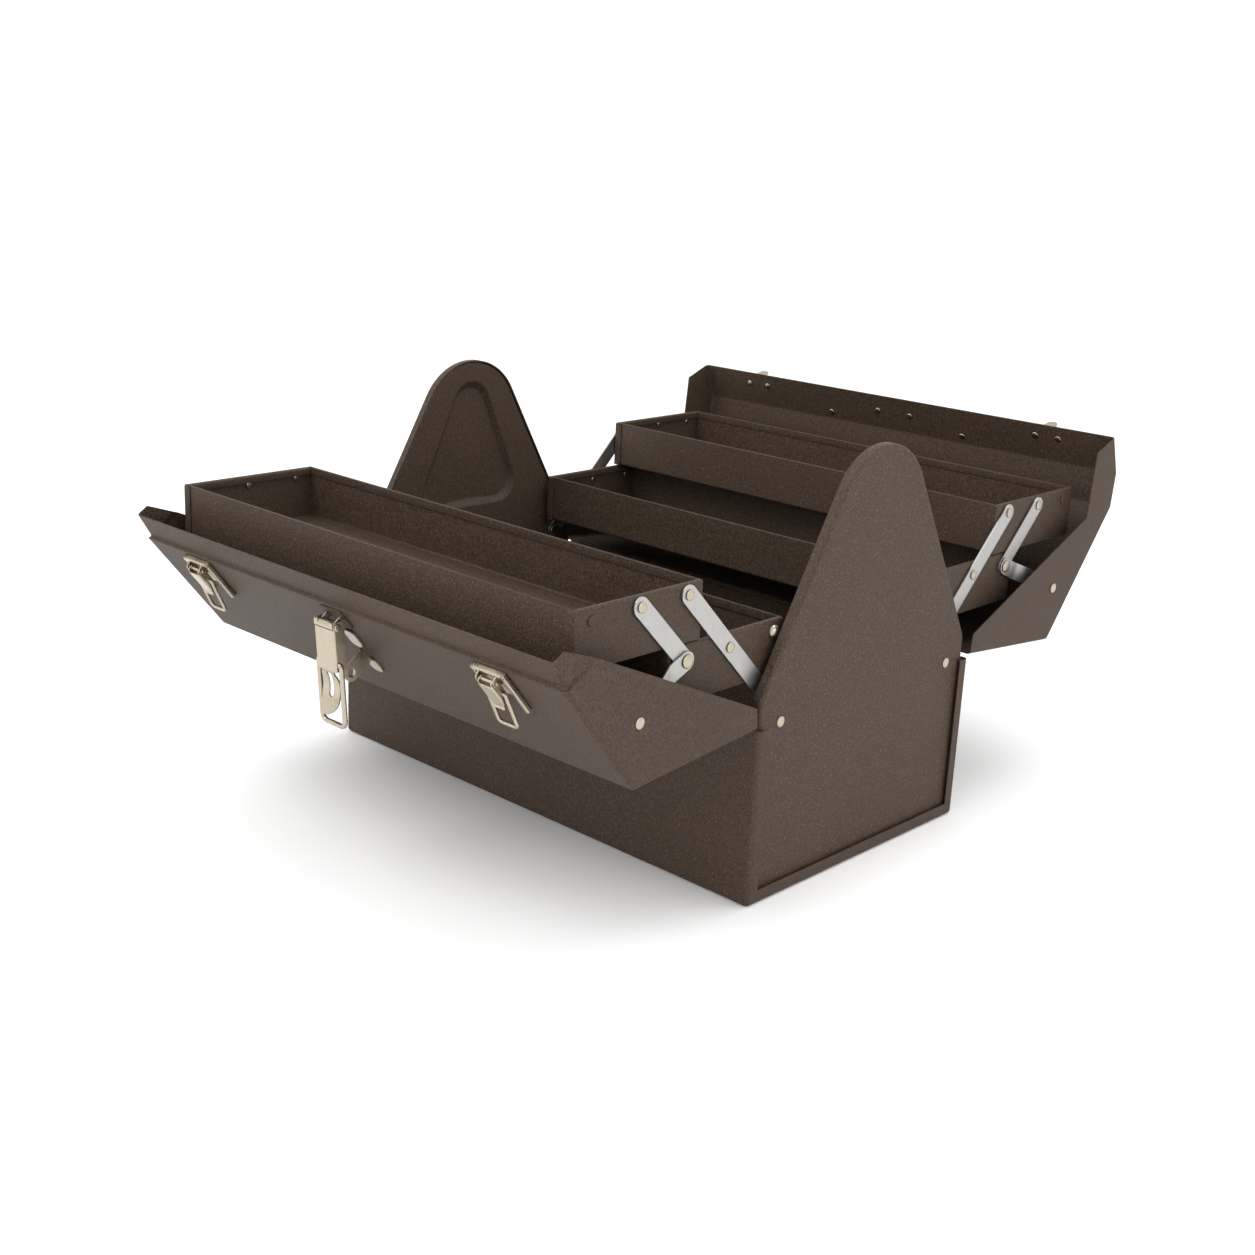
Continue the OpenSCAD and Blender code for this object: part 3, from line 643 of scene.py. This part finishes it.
def base_rivets():
    """Heads outside the end panels and inside the liners."""
    form = Form(at_side("rear"))
    for s in (-1, 1):
        for t in (-1, 1):
            rivet(form, s * PANEL_X, (t * EAR_RIVET.x, EAR_RIVET.y), 4.5, 1.2, s)
            rivet(form, s * LINER_X, (t * EAR_RIVET.x, EAR_RIVET.y), 4, 1.2, -s)
    form.make("ear_rivet_heads", NICKEL, "base", ["ear_rivets"], 0)


# ---------------- lids
def front_lid():
    """Wall, roof, and a lip set back by JOG to tuck under the rear lid, with its ends drawn in."""
    points = [Vector((HALF_D, LID_FOOT)), CORNER]
    for s, off in ((FRONT_ROOF, 0), (FRONT_ROOF + 0.4, -JOG)):
        points.append(CORNER + s * UP_ROOF + off * OFF_ROOF)
    points.append(points[-1] + LIP_W * Vector((-math.cos(NOSE_SLOPE), math.sin(NOSE_SLOPE))))
    radii = [5, 1.4, 0.6]
    flange_end = Vector((33, 319))
    tab_end = CORNER + (FRONT_ROOF + 21) * UP_ROOF - 18 * OFF_ROOF
    line = inset(points, radii, 0)
    fold_at = mid_corner(1)

    def edge(k, n):
        if k <= fold_at:
            share = (line[k] - line[0]).length / (line[fold_at] - line[0]).length
            return FLANGE_FOOT.lerp(flange_end, min(share, 1))
        return flange_end.lerp(tab_end, (k - fold_at) / (n - 1 - fold_at))

    def draw_in(k, n):
        return END_JOG * max(0, min((k - fold_at) / 2, 1))

    shell("front_lid_sheet", points, radii, HALF_L, on_lid("front"), ENAMEL, "front_lid", ["front_lid"],
          bend=3.8, edge=edge, draw_in=draw_in, most=5)


def rear_lid():
    """Wall, roof, flat ridge and nose. Its flanges are notched where they meet the ears."""
    points = [Vector((HALF_D, LID_FOOT)), CORNER, RIDGE_REAR, RIDGE_FRONT, REAR_TIP]
    radii = [5, 6, 6]
    flange_end = Vector((30, 323))
    notch = Vector((-31, 323))
    line = inset(points, radii, 0)
    deep = inset(points, radii, 4)
    second, third = mid_corner(1), mid_corner(2)

    def edge(k, n):
        if k <= second:
            share = (line[k] - line[0]).length / (line[second] - line[0]).length
            return FLANGE_FOOT.lerp(flange_end, share)
        if k <= third:
            return flange_end.lerp(notch, (k - second) / (third - second))
        return notch.lerp(deep[-1] + (notch - deep[-1]).normalized() * 0.6, (k - third) / (n - 1 - third))

    shell("rear_lid_sheet", points, radii, HALF_L, on_lid("rear"), ENAMEL, "rear_lid", ["rear_lid"],
          bend=4, edge=edge)


def lid_link_rivets(side):
    form = Form(at_side(side))
    for s in (-1, 1):
        rivet(form, s * HALF_L, LID_PIVOT, 4.5, 1.2, s)
        rivet(form, s * (HALF_L - SHEET), LID_PIVOT, 4, 0.8, -s)
    form.make(side + "_lid_rivet_heads", NICKEL, side + "_lid", [side + "_lid_link_rivets"], 0)


base_shell()
for end in ("left", "right"):
    end_panel(end)
    ear_liner(end)
base_rivets()
front_lid()
rear_lid()
for side in ("front", "rear"):
    lid_link_rivets(side)


# ---------------- trays
TRAY_W = 129.5
TRAY_H = 45
TAB = 9
TRAY_BEND = 1.04
HEM_W = 2.1
HEM_DEEP = 7
HEM_BEND = 2.5
ROLL_R = 2.2
ROLL_DEEP = 6.5
PIVOT_R = 2.5
STOP_R = 5.5
STOP_H = 4


def tray_axes(side, level):
    """(centre y, underside z, inner pivot, outer pivot) at +Y."""
    low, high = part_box("rear_" + level + "_tray_pan")
    inner, outer = (LOWER_PIVOT, LOWER_OUTER) if level == "lower" else (UPPER_PIVOT, UPPER_OUTER)
    return (low[1] + high[1]) / 2 / MM, low[2] / MM, inner, outer


def tray_pan(side, level):
    """Long walls and floor: one sheet with both long edges hemmed inwards."""
    y, z = tray_axes(side, level)[:2]
    half = TRAY_W / 2
    top = z + TRAY_H
    right = [Vector((y + half, z)), Vector((y + half, top)), Vector((y + half - HEM_W, top)),
             Vector((y + half - HEM_W, top - HEM_DEEP))]
    left = [Vector((2 * y - p.x, p.y)) for p in right[::-1]]
    radii = [TRAY_BEND, TRAY_BEND, HEM_BEND, HEM_BEND, TRAY_BEND, TRAY_BEND]
    form = Form(at_side(side))
    form.prism(bent_sheet(left + right, radii, TRAY_T), -TRAY_X + TRAY_T, TRAY_X - TRAY_T)
    form.make(side + "_" + level + "_tray_sheet", ENAMEL, side + "_" + level + "_tray",
              [side + "_" + level + "_tray_pan"], 0)


def end_section(roll):
    """(depth from the outer face, height) outline of a tray end. roll, 0 to 1, turns its top edge inwards."""
    outline = bent_sheet([Vector((0, 0)), Vector((0, TRAY_H)), Vector((-2 * ROLL_R, TRAY_H)),
                          Vector((-2 * ROLL_R, TRAY_H - ROLL_DEEP))], [ROLL_R, ROLL_R], TRAY_T)
    plain = TRAY_H - 0.4
    shaped = []
    for p in outline:
        depth, height = -p.x, p.y
        if depth > TRAY_T:
            depth = TRAY_T + (depth - TRAY_T) * roll
            if height > plain:
                height = plain + (height - plain) * roll
        shaped.append((depth, height))
    return shaped


def tray_end(side, level, end):
    """The end plate: rolled top edge, and tabs bent round the long walls."""
    y, z = tray_axes(side, level)[:2]
    half = TRAY_W / 2 + TRAY_T
    bend = 1.8
    # (x, distance across, direction of the outer face in degrees, roll)
    stations = [(TRAY_X - TAB, half, 90, 0), (TRAY_X - bend - 0.01, half, 90, 0)]
    for a in bend_angles()[1:]:
        stations.append((TRAY_X - bend + bend * math.sin(a), half - bend + bend * math.cos(a),
                         90 - math.degrees(a), 0))
    for k in range(1, 7):
        stations.append((TRAY_X, half - bend - 0.45 * k, 0, math.sqrt(1 - (1 - k / 6) ** 2)))
    stations += [(x, -across, -lean, roll) for x, across, lean, roll in stations[::-1]]
    place = at_end(at_side(side), end)
    rings = []
    for x, across, lean, roll in stations:
        out = polar(1, lean)
        rings.append([place(x - depth * out.x, y + across - depth * out.y, z + height)
                      for depth, height in end_section(roll)])
    form = Form(place)
    form.rings(rings)
    form.make(side + "_" + level + "_tray_end_sheet_" + end, ENAMEL, side + "_" + level + "_tray",
              [side + "_" + level + "_tray_end_" + end], 0)


def shank(form, x0, x1, centre, radius, s):
    """A pin from x0 to x1 at the end s, 1 for the right and -1 for the left."""
    form.lathe([(0, radius), ((x1 - x0) * s, radius)], x0 * s, centre)


def tray_rivets(side, level):
    """Link pivots and stop rivets. The lower trays' outer pivots carry two links, and have wider heads."""
    y, z, inner, outer = tray_axes(side, level)
    form = Form(at_side(side))
    painted = Form(at_side(side))
    one_link = TRAY_X + 2.4
    two_links = TRAY_X + 4.4
    heads = [(inner, one_link, 4.2), (outer, two_links, 5.5) if level == "lower" else (outer, one_link, 4.2)]
    for s in (-1, 1):
        for at, face, radius in heads:
            rivet(form, s * face, at, radius, 1.4, s)
            shank(form, TRAY_X - 2, face + 0.1, at, PIVOT_R, s)
            rivet(form, s * (TRAY_X - 2), at, 3.2, 1.2, -s)
        if level == "lower":
            stop = (y - TRAY_W / 2 + 11, z + TRAY_H - 10)
            angles = [math.radians(a) for a in range(0, 91, 10)]
            dome = [(s * STOP_H * math.sin(a), STOP_R * math.cos(a)) for a in angles]
            form.lathe([(-0.3 * s, STOP_R)] + dome, s * TRAY_X, stop)
        else:
            stop = (y + TRAY_W / 2 - 16, z + TRAY_H - 10)
            rivet(painted, s * TRAY_X, stop, 4, 1.2, s)
        rivet(form, s * (TRAY_X - 1), stop, 3.2, 1.2, -s)
    form.make(side + "_" + level + "_tray_rivet_heads", NICKEL, side + "_" + level + "_tray",
              [side + "_" + level + "_tray_rivets"], 0)
    if level == "upper":
        painted.make(side + "_upper_tray_painted_rivets", ENAMEL, side + "_upper_tray", [], 0)


# ---------------- links
LINK_R = 7.5
LINK_T = 1.6


def link(form, s, a, b, steps):
    """A strip with round ends from a to b. steps are (distance along it, x of its inner face)."""
    run = (b - a).length
    along = (b - a) / run
    across = Vector((along.y, -along.x))
    stations = [-LINK_R * math.cos(math.radians(t)) for t in range(4, 90, 11)]
    stations += [0] + [d for d, _ in steps]
    stations += [(before[0] + after[0]) / 2 for before, after in zip(steps, steps[1:])]
    stations += [run - t for t in stations if t <= 0]
    stations = sorted(set(t for t in stations if -LINK_R < t < run + LINK_R))
    rings = []
    for t in stations:
        over = max(-t, t - run, 0)
        wide = math.sqrt(LINK_R ** 2 - over ** 2)
        x = step_height(t, steps)
        rings.append([form.place(s * (x + dx), *(a + along * t + across * dw))
                      for dx, dw in ((0, -wide), (LINK_T, -wide), (LINK_T, wide), (0, wide))])
    form.rings(rings)


def step_height(t, steps):
    """x of a stepped strip's inner face at distance t along it."""
    for (t0, x0), (t1, x1) in zip(steps, steps[1:]):
        if t <= t1:
            share = max(0, min(1, (t - t0) / (t1 - t0)))
            share = share * share * (3 - 2 * share)
            return x0 + (x1 - x0) * share
    return steps[-1][1]


def links(side):
    """Long links step inwards from the liner to the trays; lid links step outwards to the lid's flange."""
    base_x = LINER_X - 2.2
    link_x = TRAY_X + 0.6
    lid_x = link_x + LINK_T + 0.4
    far_x = HALF_L - SHEET - 2.8
    long_steps = [(7, base_x), (10, base_x - 0.7), (13, (base_x + link_x) / 2), (16, link_x + 0.7),
                  (19, link_x)]
    short_steps = [(0, link_x), (40, link_x)]
    lid_steps = [(16, lid_x), (24, lid_x + 3), (33, (lid_x + far_x) / 2), (42, far_x - 3), (50, far_x)]
    runs = {
        "long": (ANCHOR, UPPER_PIVOT, long_steps),
        "short": (LOWER_OUTER, UPPER_OUTER, short_steps),
        "lid": (LOWER_OUTER, LID_PIVOT, lid_steps),
    }
    for kind, (a, b, steps) in runs.items():
        form = Form(at_side(side))
        for s in (-1, 1):
            link(form, s, a, b, steps)
        node = side + "_" + kind + "_links"
        form.make(side + "_" + kind + "_link_strips", ZINC, node, [node])


def anchor_pins():
    """The pins on the liners that carry the long links."""
    form = Form(at_side("rear"))
    for s in (-1, 1):
        for t in (-1, 1):
            at = (t * ANCHOR.x, ANCHOR.y)
            rivet(form, s * (LINER_X - 2.4), at, 5, 1.2, -s)
            shank(form, LINER_X - 3, LINER_X + 2, at, 3, s)
            rivet(form, s * (LINER_X + 1.2), at, 4.5, 1.2, s)
    form.make("link_anchor_heads", NICKEL, "base", ["link_anchor_pins"], 0)


# ---------------- latches
def holed(form, outer, inner, centre, low, high, place, count=72, steps=1):
    """A plate with a hole, drawn along rays from centre. place(point, height) puts each of its points."""
    loops = []
    for k in range(count):
        angle = 2 * math.pi * k / count
        ray = Vector((math.cos(angle), math.sin(angle)))
        a = centre + ray * hit(outer, centre, angle)
        b = centre + ray * hit(inner, centre, angle)
        row = [a.lerp(b, i / steps) for i in range(steps + 1)]
        loops.append([place(p, low) for p in row] + [place(p, high) for p in row[::-1]])
    form.rings(loops, looped=True)


def rounded_box(x0, x1, y0, y1, radius):
    corners = [Vector((x0, y0)), Vector((x1, y0)), Vector((x1, y1)), Vector((x0, y1))]
    return round_off(corners, [radius] * 4, closed=True)


def bail(form, half, length, radius, inner, bend):
    """A wire bail: two legs along +Y, with their ends turned in."""
    path = [Vector((-inner, 0)), Vector((-half, 0)), Vector((-half, length)), Vector((half, length)),
            Vector((half, 0)), Vector((inner, 0))]
    line = round_off(path, [radius + 0.4, bend, bend, radius + 0.4])
    form.tube([(p.x, p.y, 0) for p in line], radius)


def pressing(form, stations, face, radius, thickness):
    """A channel whose back faces +Z at face. stations are (y, half width, height of its free edges)."""
    rings = []
    for y, half, foot in stations:
        outline = bent_sheet([Vector((-half, foot)), Vector((-half, face)), Vector((half, face)),
                              Vector((half, foot))], [radius, radius], -thickness)
        rings.append([form.place(p.x, y, p.y) for p in outline])
    form.rings(rings)


# The levers' pins and bails, in the roof's frame: (distance down the roof, height)
PIN = Vector((9.5, 7))
PIN_R = 1.5
PLATE_T = 1.2
LATCH_X = 179
LATCH_HALF = 7.2
BAIL_AT = Vector((12, 0))
BAIL_REST = 13
BAIL_R = 1.5


def latch_base(end, frame_at):
    """Two rails, a cross plate, a folded front edge and the lugs that hold the pin."""
    base = Form(frame_at)
    for s in (-1, 1):
        rail = bent_sheet([Vector((s * x, z)) for x, z in ((12.5, 0), (17, 0), (17, 4.5), (14, 4.5))],
                          [1.3, 1.3], PLATE_T * s)
        base.rings([[base.place(p.x, y, p.y) for p in rail] for y in (3, 44)])
    base.slab(rounded_box(-15, 15, 13.5, 31, 1), 0, PLATE_T)
    top = [Vector((3, 0.2)), Vector((3, 4.6)), Vector((6, 4.6))]
    base.prism(bent_sheet(top, [1.4], -PLATE_T), -16.8, 16.8)
    for s in (-1, 1):
        lug = [Vector((4, 0)), Vector((14, 0)), Vector((13, 9.6)), Vector((6, 9.6))]
        lug = round_off(lug, [0.3, 0.3, 3, 3], closed=True)
        base.prism(lug, s * (LATCH_HALF + 1), s * (LATCH_HALF + 2.2))
    base.make("latch_" + end + "_base_pressing", NICKEL, "front_lid", ["latch_base_" + end])


def latch_lever(end, frame_at):
    """A channel that narrows to a flat finger lip, with round cheeks at the pin."""
    lever = Form(tilted(frame_at, PIN, 0))
    stations = [(1, LATCH_HALF, -3), (14, LATCH_HALF, -3), (16.5, 7.1, -2.2)]
    stations += [(19.5, 6.6, 0.4), (21.5, 6, 1.8), (22.5, 5.8, 2.2)]
    pressing(lever, stations, 4.6, 1.6, PLATE_T)
    for s in (-1, 1):
        cheek = [Vector((-2, -3)), Vector((1.4, -3)), Vector((1.4, 3.6)), Vector((-2, 3.6))]
        lever.prism(round_off(cheek, [2, 0.3, 0.3, 2], closed=True), s * 6, s * LATCH_HALF)
    lip = [Vector((21.5, 4.55)), Vector((23.5, 4.55)), Vector((25, 5.8))]
    lever.prism(bent_sheet(lip, [1.5], -PLATE_T), -5.7, 5.7)
    lever.make("latch_" + end + "_lever_pressing", NICKEL, "latch_lever_" + end, ["latch_lever_" + end])


def side_latch(end):
    x0 = -LATCH_X if end == "left" else LATCH_X
    frame_at = tilted(ROOF_FRAME, (0, 0), 0, x0)
    latch_base(end, frame_at)
    latch_lever(end, frame_at)
    wire = Form(tilted(frame_at, PIN + BAIL_AT, BAIL_REST))
    bail(wire, LATCH_HALF + 2.5, 31, BAIL_R, LATCH_HALF - 2, 3.5)
    wire.make("latch_" + end + "_wire", NICKEL, "latch_bail_" + end, ["latch_bail_" + end], 0)


HASP_PIN = Vector((11.5, 10.2))
HASP_REST = 34.5
HASP_HALF = 11.8
HASP_T = 1.5
HASP_FACE = 4.4
BODY_END = 35.5
TONGUE_TIP = 71
TONGUE_R = 10.5
SLOT_HALF = 2.75
PADLOCK_HOLE = Vector((58.5, 20.5))
PADLOCK_R = 3.5
FIN_HALF = 1.25


def hasp_bracket():
    """Two lugs for the hasp's pin, on a painted foot."""
    plate = Form(ROOF_FRAME)
    plate.slab(rounded_box(-13, 13, 3, 23, 2), 0, 1.5)
    plate.make("hasp_bracket_foot", ENAMEL, "front_lid", [])
    form = Form(ROOF_FRAME)
    ear = [Vector((-2.7, -10.2)), Vector((2.7, -10.2)), Vector((2.7, 2.7)), Vector((-2.7, 2.7))]
    outline = round_off([HASP_PIN + p for p in ear], [0.3, 0.3, 2.6, 2.6], closed=True)
    for s in (-1, 1):
        form.prism(outline, s * 7.5, s * 9)
    form.make("hasp_bracket_pressing", NICKEL, "front_lid", ["hasp_bracket"])


def hasp_staple():
    """Two riveted tabs and the fin between them, which takes a padlock."""
    form = Form(ROOF_FRAME)
    for y0, y1 in ((29, 49), (64, 80)):
        form.slab(rounded_box(-7, 7, y0, y1, 5.5), 0, 1.9)
    fin = round_off([Vector((51, 1)), Vector((66, 1)), Vector((66, 27)), Vector((51, 27))],
                    [0.3, 0.3, 6.5, 6.5], closed=True)
    hole = disc(PADLOCK_HOLE, PADLOCK_R)
    holed(form, fin, hole, PADLOCK_HOLE, -FIN_HALF, FIN_HALF, lambda p, h: ROOF_FRAME(h, p.x, p.y))
    form.make("hasp_staple_pressing", NICKEL, "front_lid", ["hasp_staple"], 0.2)


def hasp_body(form):
    """The lever's channel, its cheeks, and the brow and barrel wrapped round the pin."""
    pressing(form, [(1.4, HASP_HALF, -6.7), (BODY_END, HASP_HALF, -6.7)], HASP_FACE, 2.4, HASP_T)
    cheek = round_off([Vector((-4.5, -6.7)), Vector((1.8, -6.7)), Vector((1.8, 3.4)), Vector((-4.5, 3.4))],
                      [2.5, 0.3, 0.3, 3.2], closed=True)
    under = HASP_FACE - HASP_T
    brow = round_off([Vector((-4.5, under)), Vector((0.8, under)), Vector((0.8, HASP_FACE)),
                      Vector((-4.5, HASP_FACE))], [0.3, 0.3, 0.3, 1.1], closed=True)
    for s in (-1, 1):
        form.prism(cheek, s * (HASP_HALF - HASP_T), s * HASP_HALF)
        form.prism(brow, s * 7, s * (HASP_HALF - 0.6))
    barrel = [Vector((0.8, HASP_FACE)), Vector((-4.5, HASP_FACE)), Vector((-4.5, -2.6))]
    form.prism(bent_sheet(barrel, [3.8], HASP_T), -7.1, 7.1)


def hasp_tongue(form):
    """The bowed tongue with its slot, narrower where it leaves the channel."""
    root = BODY_END - 1.5
    waist = Vector((0, root + 13))
    half_turn = 48.2

    def bowed(p, height):
        t = (p.y - root) / (TONGUE_TIP - root)
        return form.place(p.x, p.y, HASP_FACE + 4 * t - 22 * t * (1 - t) + height)

    outline = [Vector((-7, root)), Vector((7, root))]
    outline += disc(waist, TONGUE_R, 8, -half_turn, half_turn)
    outline += disc(Vector((0, TONGUE_TIP - TONGUE_R)), TONGUE_R, 24, 0, 180)
    outline += [Vector((-p.x, p.y)) for p in disc(waist, TONGUE_R, 8, 0, -half_turn)]
    slot = slot_outline(Vector((0, 40.25)), Vector((0, 55.75)), SLOT_HALF)
    holed(form, outline, slot, Vector((0, 48)), -HASP_T, 0, bowed, 120, 5)


def hasp_lever():
    turned = tilted(ROOF_FRAME, HASP_PIN, HASP_REST)
    form = Form(turned)
    hasp_body(form)
    hasp_tongue(form)
    form.make("hasp_lever_pressing", NICKEL, "hasp_lever", ["hasp_lever"], 0.2)
    wire = Form(tilted(turned, (30, 0.5), 0))
    bail(wire, HASP_HALF + 2.3, 51, 2, HASP_HALF - 2.5, 5)
    wire.make("hasp_wire", NICKEL, "hasp_bail", ["hasp_bail"], 0)


def latch_pins():
    """The pins of both latches and of the hasp, whose ends are riveted over."""
    form = Form(ROOF_FRAME)
    for x, half, at in ((-LATCH_X, LATCH_HALF + 2.8, PIN), (LATCH_X, LATCH_HALF + 2.8, PIN),
                        (0, HASP_HALF + 0.2, HASP_PIN)):
        form.lathe([(-half - 0.4, PIN_R / 2), (-half, PIN_R), (half, PIN_R), (half + 0.4, PIN_R / 2)], x, at)
    for s in (-1, 1):
        rivet(form, s * (HASP_HALF + 0.1), HASP_PIN, 3, 1.1, s)
    form.make("latch_pin_rods", NICKEL, "front_lid", ["latch_pins"], 0)


# ---------------- rear lid's hardware
STRIKE_X = 180
HANDLE_X = 82
HARDWARE_T = 1.5
HANDLE_R = 3
HANDLE_REACH = 42


def strikes():
    """A riveted plate with an upright tongue for each side latch's bail."""
    form = Form(NOSE_FRAME)
    for s in (-STRIKE_X, STRIKE_X):
        form.slab(rounded_box(s - 22, s + 22, 3, 22, 3), 0, HARDWARE_T)
        tongue = [Vector((s - 8, 0)), Vector((s + 8, 0)), Vector((s + 4.5, 14)), Vector((s - 4.5, 14))]
        outline = round_off(tongue, [0.3, 0.3, 4, 4], closed=True)
        form.rings([[NOSE_FRAME(p.x, y, p.y) for p in outline] for y in (3.5, 5.5)])
    form.make("strike_pressings", NICKEL, "rear_lid", ["strikes"])


def lock_plate():
    """The plate whose folded edge takes the hasp's bail."""
    form = Form(NOSE_FRAME)
    form.slab(rounded_box(-28, 28, 5, 25, 3), 0, HARDWARE_T)
    edge = [Vector((5, 0.2)), Vector((5, 8)), Vector((9, 8))]
    form.prism(bent_sheet(edge, [1.6], -HARDWARE_T), -11, 11)
    form.make("lock_plate_pressing", NICKEL, "rear_lid", ["lock_plate"])


def nose_rivets():
    """Rivets of the strikes, the lock plate and the handle's brackets, seen on both faces of the nose."""
    form = Form(NOSE_FRAME)
    spots = [(s * STRIKE_X + dx, 13) for s in (-1, 1) for dx in (-12.6, 12.6)]
    spots += [(s * x, y) for s in (-1, 1) for x, y in ((20, 18), (HANDLE_X, 30))]
    head = [(0, 3.4), (0.5, 3.3), (0.9, 2.4), (1, 0)]
    for x, y in spots:
        form.lathe(head, x, (y, HARDWARE_T), "z")
        form.lathe([(-h, r) for h, r in head], x, (y, -SHEET), "z")
    form.make("nose_rivet_heads", NICKEL, "rear_lid", ["rear_lid_rivets"], 0)


def handle_brackets(place, eye):
    """Straps over the ridge, each with an eye for the handle's rod."""
    down = Vector((math.cos(NOSE_SLOPE), math.sin(NOSE_SLOPE)))
    strap = [RIDGE_REAR - 14 * UP_ROOF, RIDGE_REAR, RIDGE_FRONT, RIDGE_FRONT - 14 * down]
    brackets = Form(place)
    tomb = round_off([eye + Vector(p) for p in ((-6, -7.9), (6, -7.9), (6, 6), (-6, 6))],
                     [0.3, 0.3, 5.9, 5.9], closed=True, steps=8)
    for s in (-HANDLE_X, HANDLE_X):
        brackets.prism(bent_sheet(strap, [5, 5], -HARDWARE_T), s - 12, s + 12)
        hole = disc(eye, HANDLE_R + 0.05)
        holed(brackets, tomb, hole, eye, s - 5, s + 5, lambda p, h: place(h, p.x, p.y))
    brackets.make("handle_bracket_pressings", NICKEL, "rear_lid", ["handle_brackets"])


def handle():
    place = on_lid("rear")
    eye = Vector((4.7, RIDGE_REAR.y + 8))
    handle_brackets(place, eye)
    rod = Form(tilted(place, eye, SWING - 90))
    arm = HANDLE_X - 16
    end = HANDLE_X + 8
    corners = ((-end, 0), (-arm, 0), (-arm, HANDLE_REACH), (arm, HANDLE_REACH), (arm, 0), (end, 0))
    path = [Vector(p) for p in corners]
    rod.tube([(p.x, p.y, 0) for p in round_off(path, [3.4, 7, 7, 3.4])], HANDLE_R)
    grip = [(-54, 4), (-53.6, 7.2), (-52.4, 8.6), (-50, 9)]
    rod.lathe(grip + [(-x, r) for x, r in grip[::-1]], 0, (HANDLE_REACH, 0))
    rod.make("handle_rod_and_grip", NICKEL, "handle", ["handle"], 0)


for side in ("front", "rear"):
    for level in ("lower", "upper"):
        tray_pan(side, level)
        tray_end(side, level, "left")
        tray_end(side, level, "right")
        tray_rivets(side, level)
    links(side)
anchor_pins()
for end in ("left", "right"):
    side_latch(end)
hasp_bracket()
hasp_staple()
hasp_lever()
latch_pins()
strikes()
lock_plate()
nose_rivets()
handle()


# ---------------- hinges
def hinge_gap_shade_strip(side):
    """An enamel strip inside the top of the base wall, beside the knuckles, that closes the gap there: a dark
    sheet standing in for the shade in that gap.
    """
    outer = HALF_D - SHEET - 1
    inner = outer - 0.8
    low, top = BASE_H - 12, BASE_H + 1.3
    form = Form(at_side(side))
    outline = [Vector((inner, low)), Vector((outer, low)), Vector((outer, top)), Vector((inner, top))]
    form.prism(round_off(outline, [0.2] * 4, closed=True), -240, 240)
    # Painted shade: this strip stands in for the shade in the gap beside the hinge knuckles.
    form.make(side + "_hinge_gap_shade_strip", ENAMEL, "base", [], 0)


def paint_hinges():
    """The hinges' leaves, knuckles and pins are shown as they come from the CAD, painted like the box."""
    for side in ("front", "rear"):
        for kind in ("base_leaf", "lid_leaf", "pin"):
            mesh = frame["nodes"][side + "_hinge_" + kind].data
            mesh.materials.clear()
            mesh.materials.append(ENAMEL)


for side in ("front", "rear"):
    hinge_gap_shade_strip(side)
paint_hinges()


# ---------------- floor, light, camera
def area_light(name, place, target, size, power):
    """A soft white light; place, target and size are in metres and power in watts."""
    data = bpy.data.lights.new(name, "AREA")
    data.shape = "RECTANGLE"
    data.size, data.size_y = size
    data.energy = power
    light = bpy.data.objects.new(name, data)
    bpy.context.scene.collection.objects.link(light)
    light.location = place
    light.rotation_euler = (Vector(target) - Vector(place)).to_track_quat("-Z", "Y").to_euler()


def grey(value):
    return (value, value, value)


def pale_floor():
    mesh = bpy.data.meshes.new("floor")
    mesh.from_pydata([(-9, -9, 0), (9, -9, 0), (9, 9, 0), (-9, 9, 0)], [], [(0, 1, 2, 3)])
    floor = bpy.data.objects.new("floor", mesh)
    bpy.context.scene.collection.objects.link(floor)
    material, tree, shader, coords = node_material("pale_floor")
    tone = ramp(tree, noise(tree, coords, 3), [(0.3, grey(0.955)), (0.7, grey(0.975))])
    tree.links.new(tone, shader.inputs["Base Color"])
    shader.inputs["Roughness"].default_value = 0.8
    mesh.materials.append(material)


def studio_light():
    """A white sky, a little darker overhead, and three soft lights."""
    world = bpy.data.worlds.new("studio")
    bpy.context.scene.world = world
    world.use_nodes = True
    tree = world.node_tree
    sky = tree.nodes.new("ShaderNodeTexCoord")
    height = tree.nodes.new("ShaderNodeSeparateXYZ")
    tree.links.new(sky.outputs["Generated"], height.inputs["Vector"])
    background = tree.nodes["Background"]
    tone = ramp(tree, height.outputs["Z"], [(0.15, grey(1)), (0.6, grey(0.7))])
    tree.links.new(tone, background.inputs["Color"])
    background.inputs["Strength"].default_value = 1.46
    area_light("key", (-0.6, -1.5, 2.2), (0, 0, 0.1), (1.6, 1.2), 28)
    area_light("right", (2.2, -0.3, 1.0), (0, 0, 0.2), (1.4, 1.2), 8)
    area_light("top", (0.3, 0.6, 2.4), (0, 0, 0.1), (1.6, 1.2), 20)


def camera():
    """The photograph's viewpoint: yaw, pitch and roll in degrees, place in millimetres."""
    yaw, pitch, roll = (math.radians(a) for a in (42.794, 17.192, 2.730))
    back = Vector((math.sin(yaw) * math.cos(pitch), -math.cos(yaw) * math.cos(pitch), math.sin(pitch)))
    right = Vector((math.cos(yaw), math.sin(yaw), 0))
    up = back.cross(right)
    right, up = (right * math.cos(roll) + up * math.sin(roll), up * math.cos(roll) - right * math.sin(roll))
    data = bpy.data.cameras.new("camera")
    data.sensor_width = 36
    data.lens = 48.49
    cam = bpy.data.objects.new("camera", data)
    bpy.context.scene.collection.objects.link(cam)
    place = Vector((992.527, -1094.071, 596.418)) * MM
    cam.matrix_world = Matrix.Translation(place) @ Matrix((right, up, back)).transposed().to_4x4()
    bpy.context.scene.camera = cam
    bpy.context.scene.view_settings.view_transform = "Standard"


pale_floor()
studio_light()
camera()
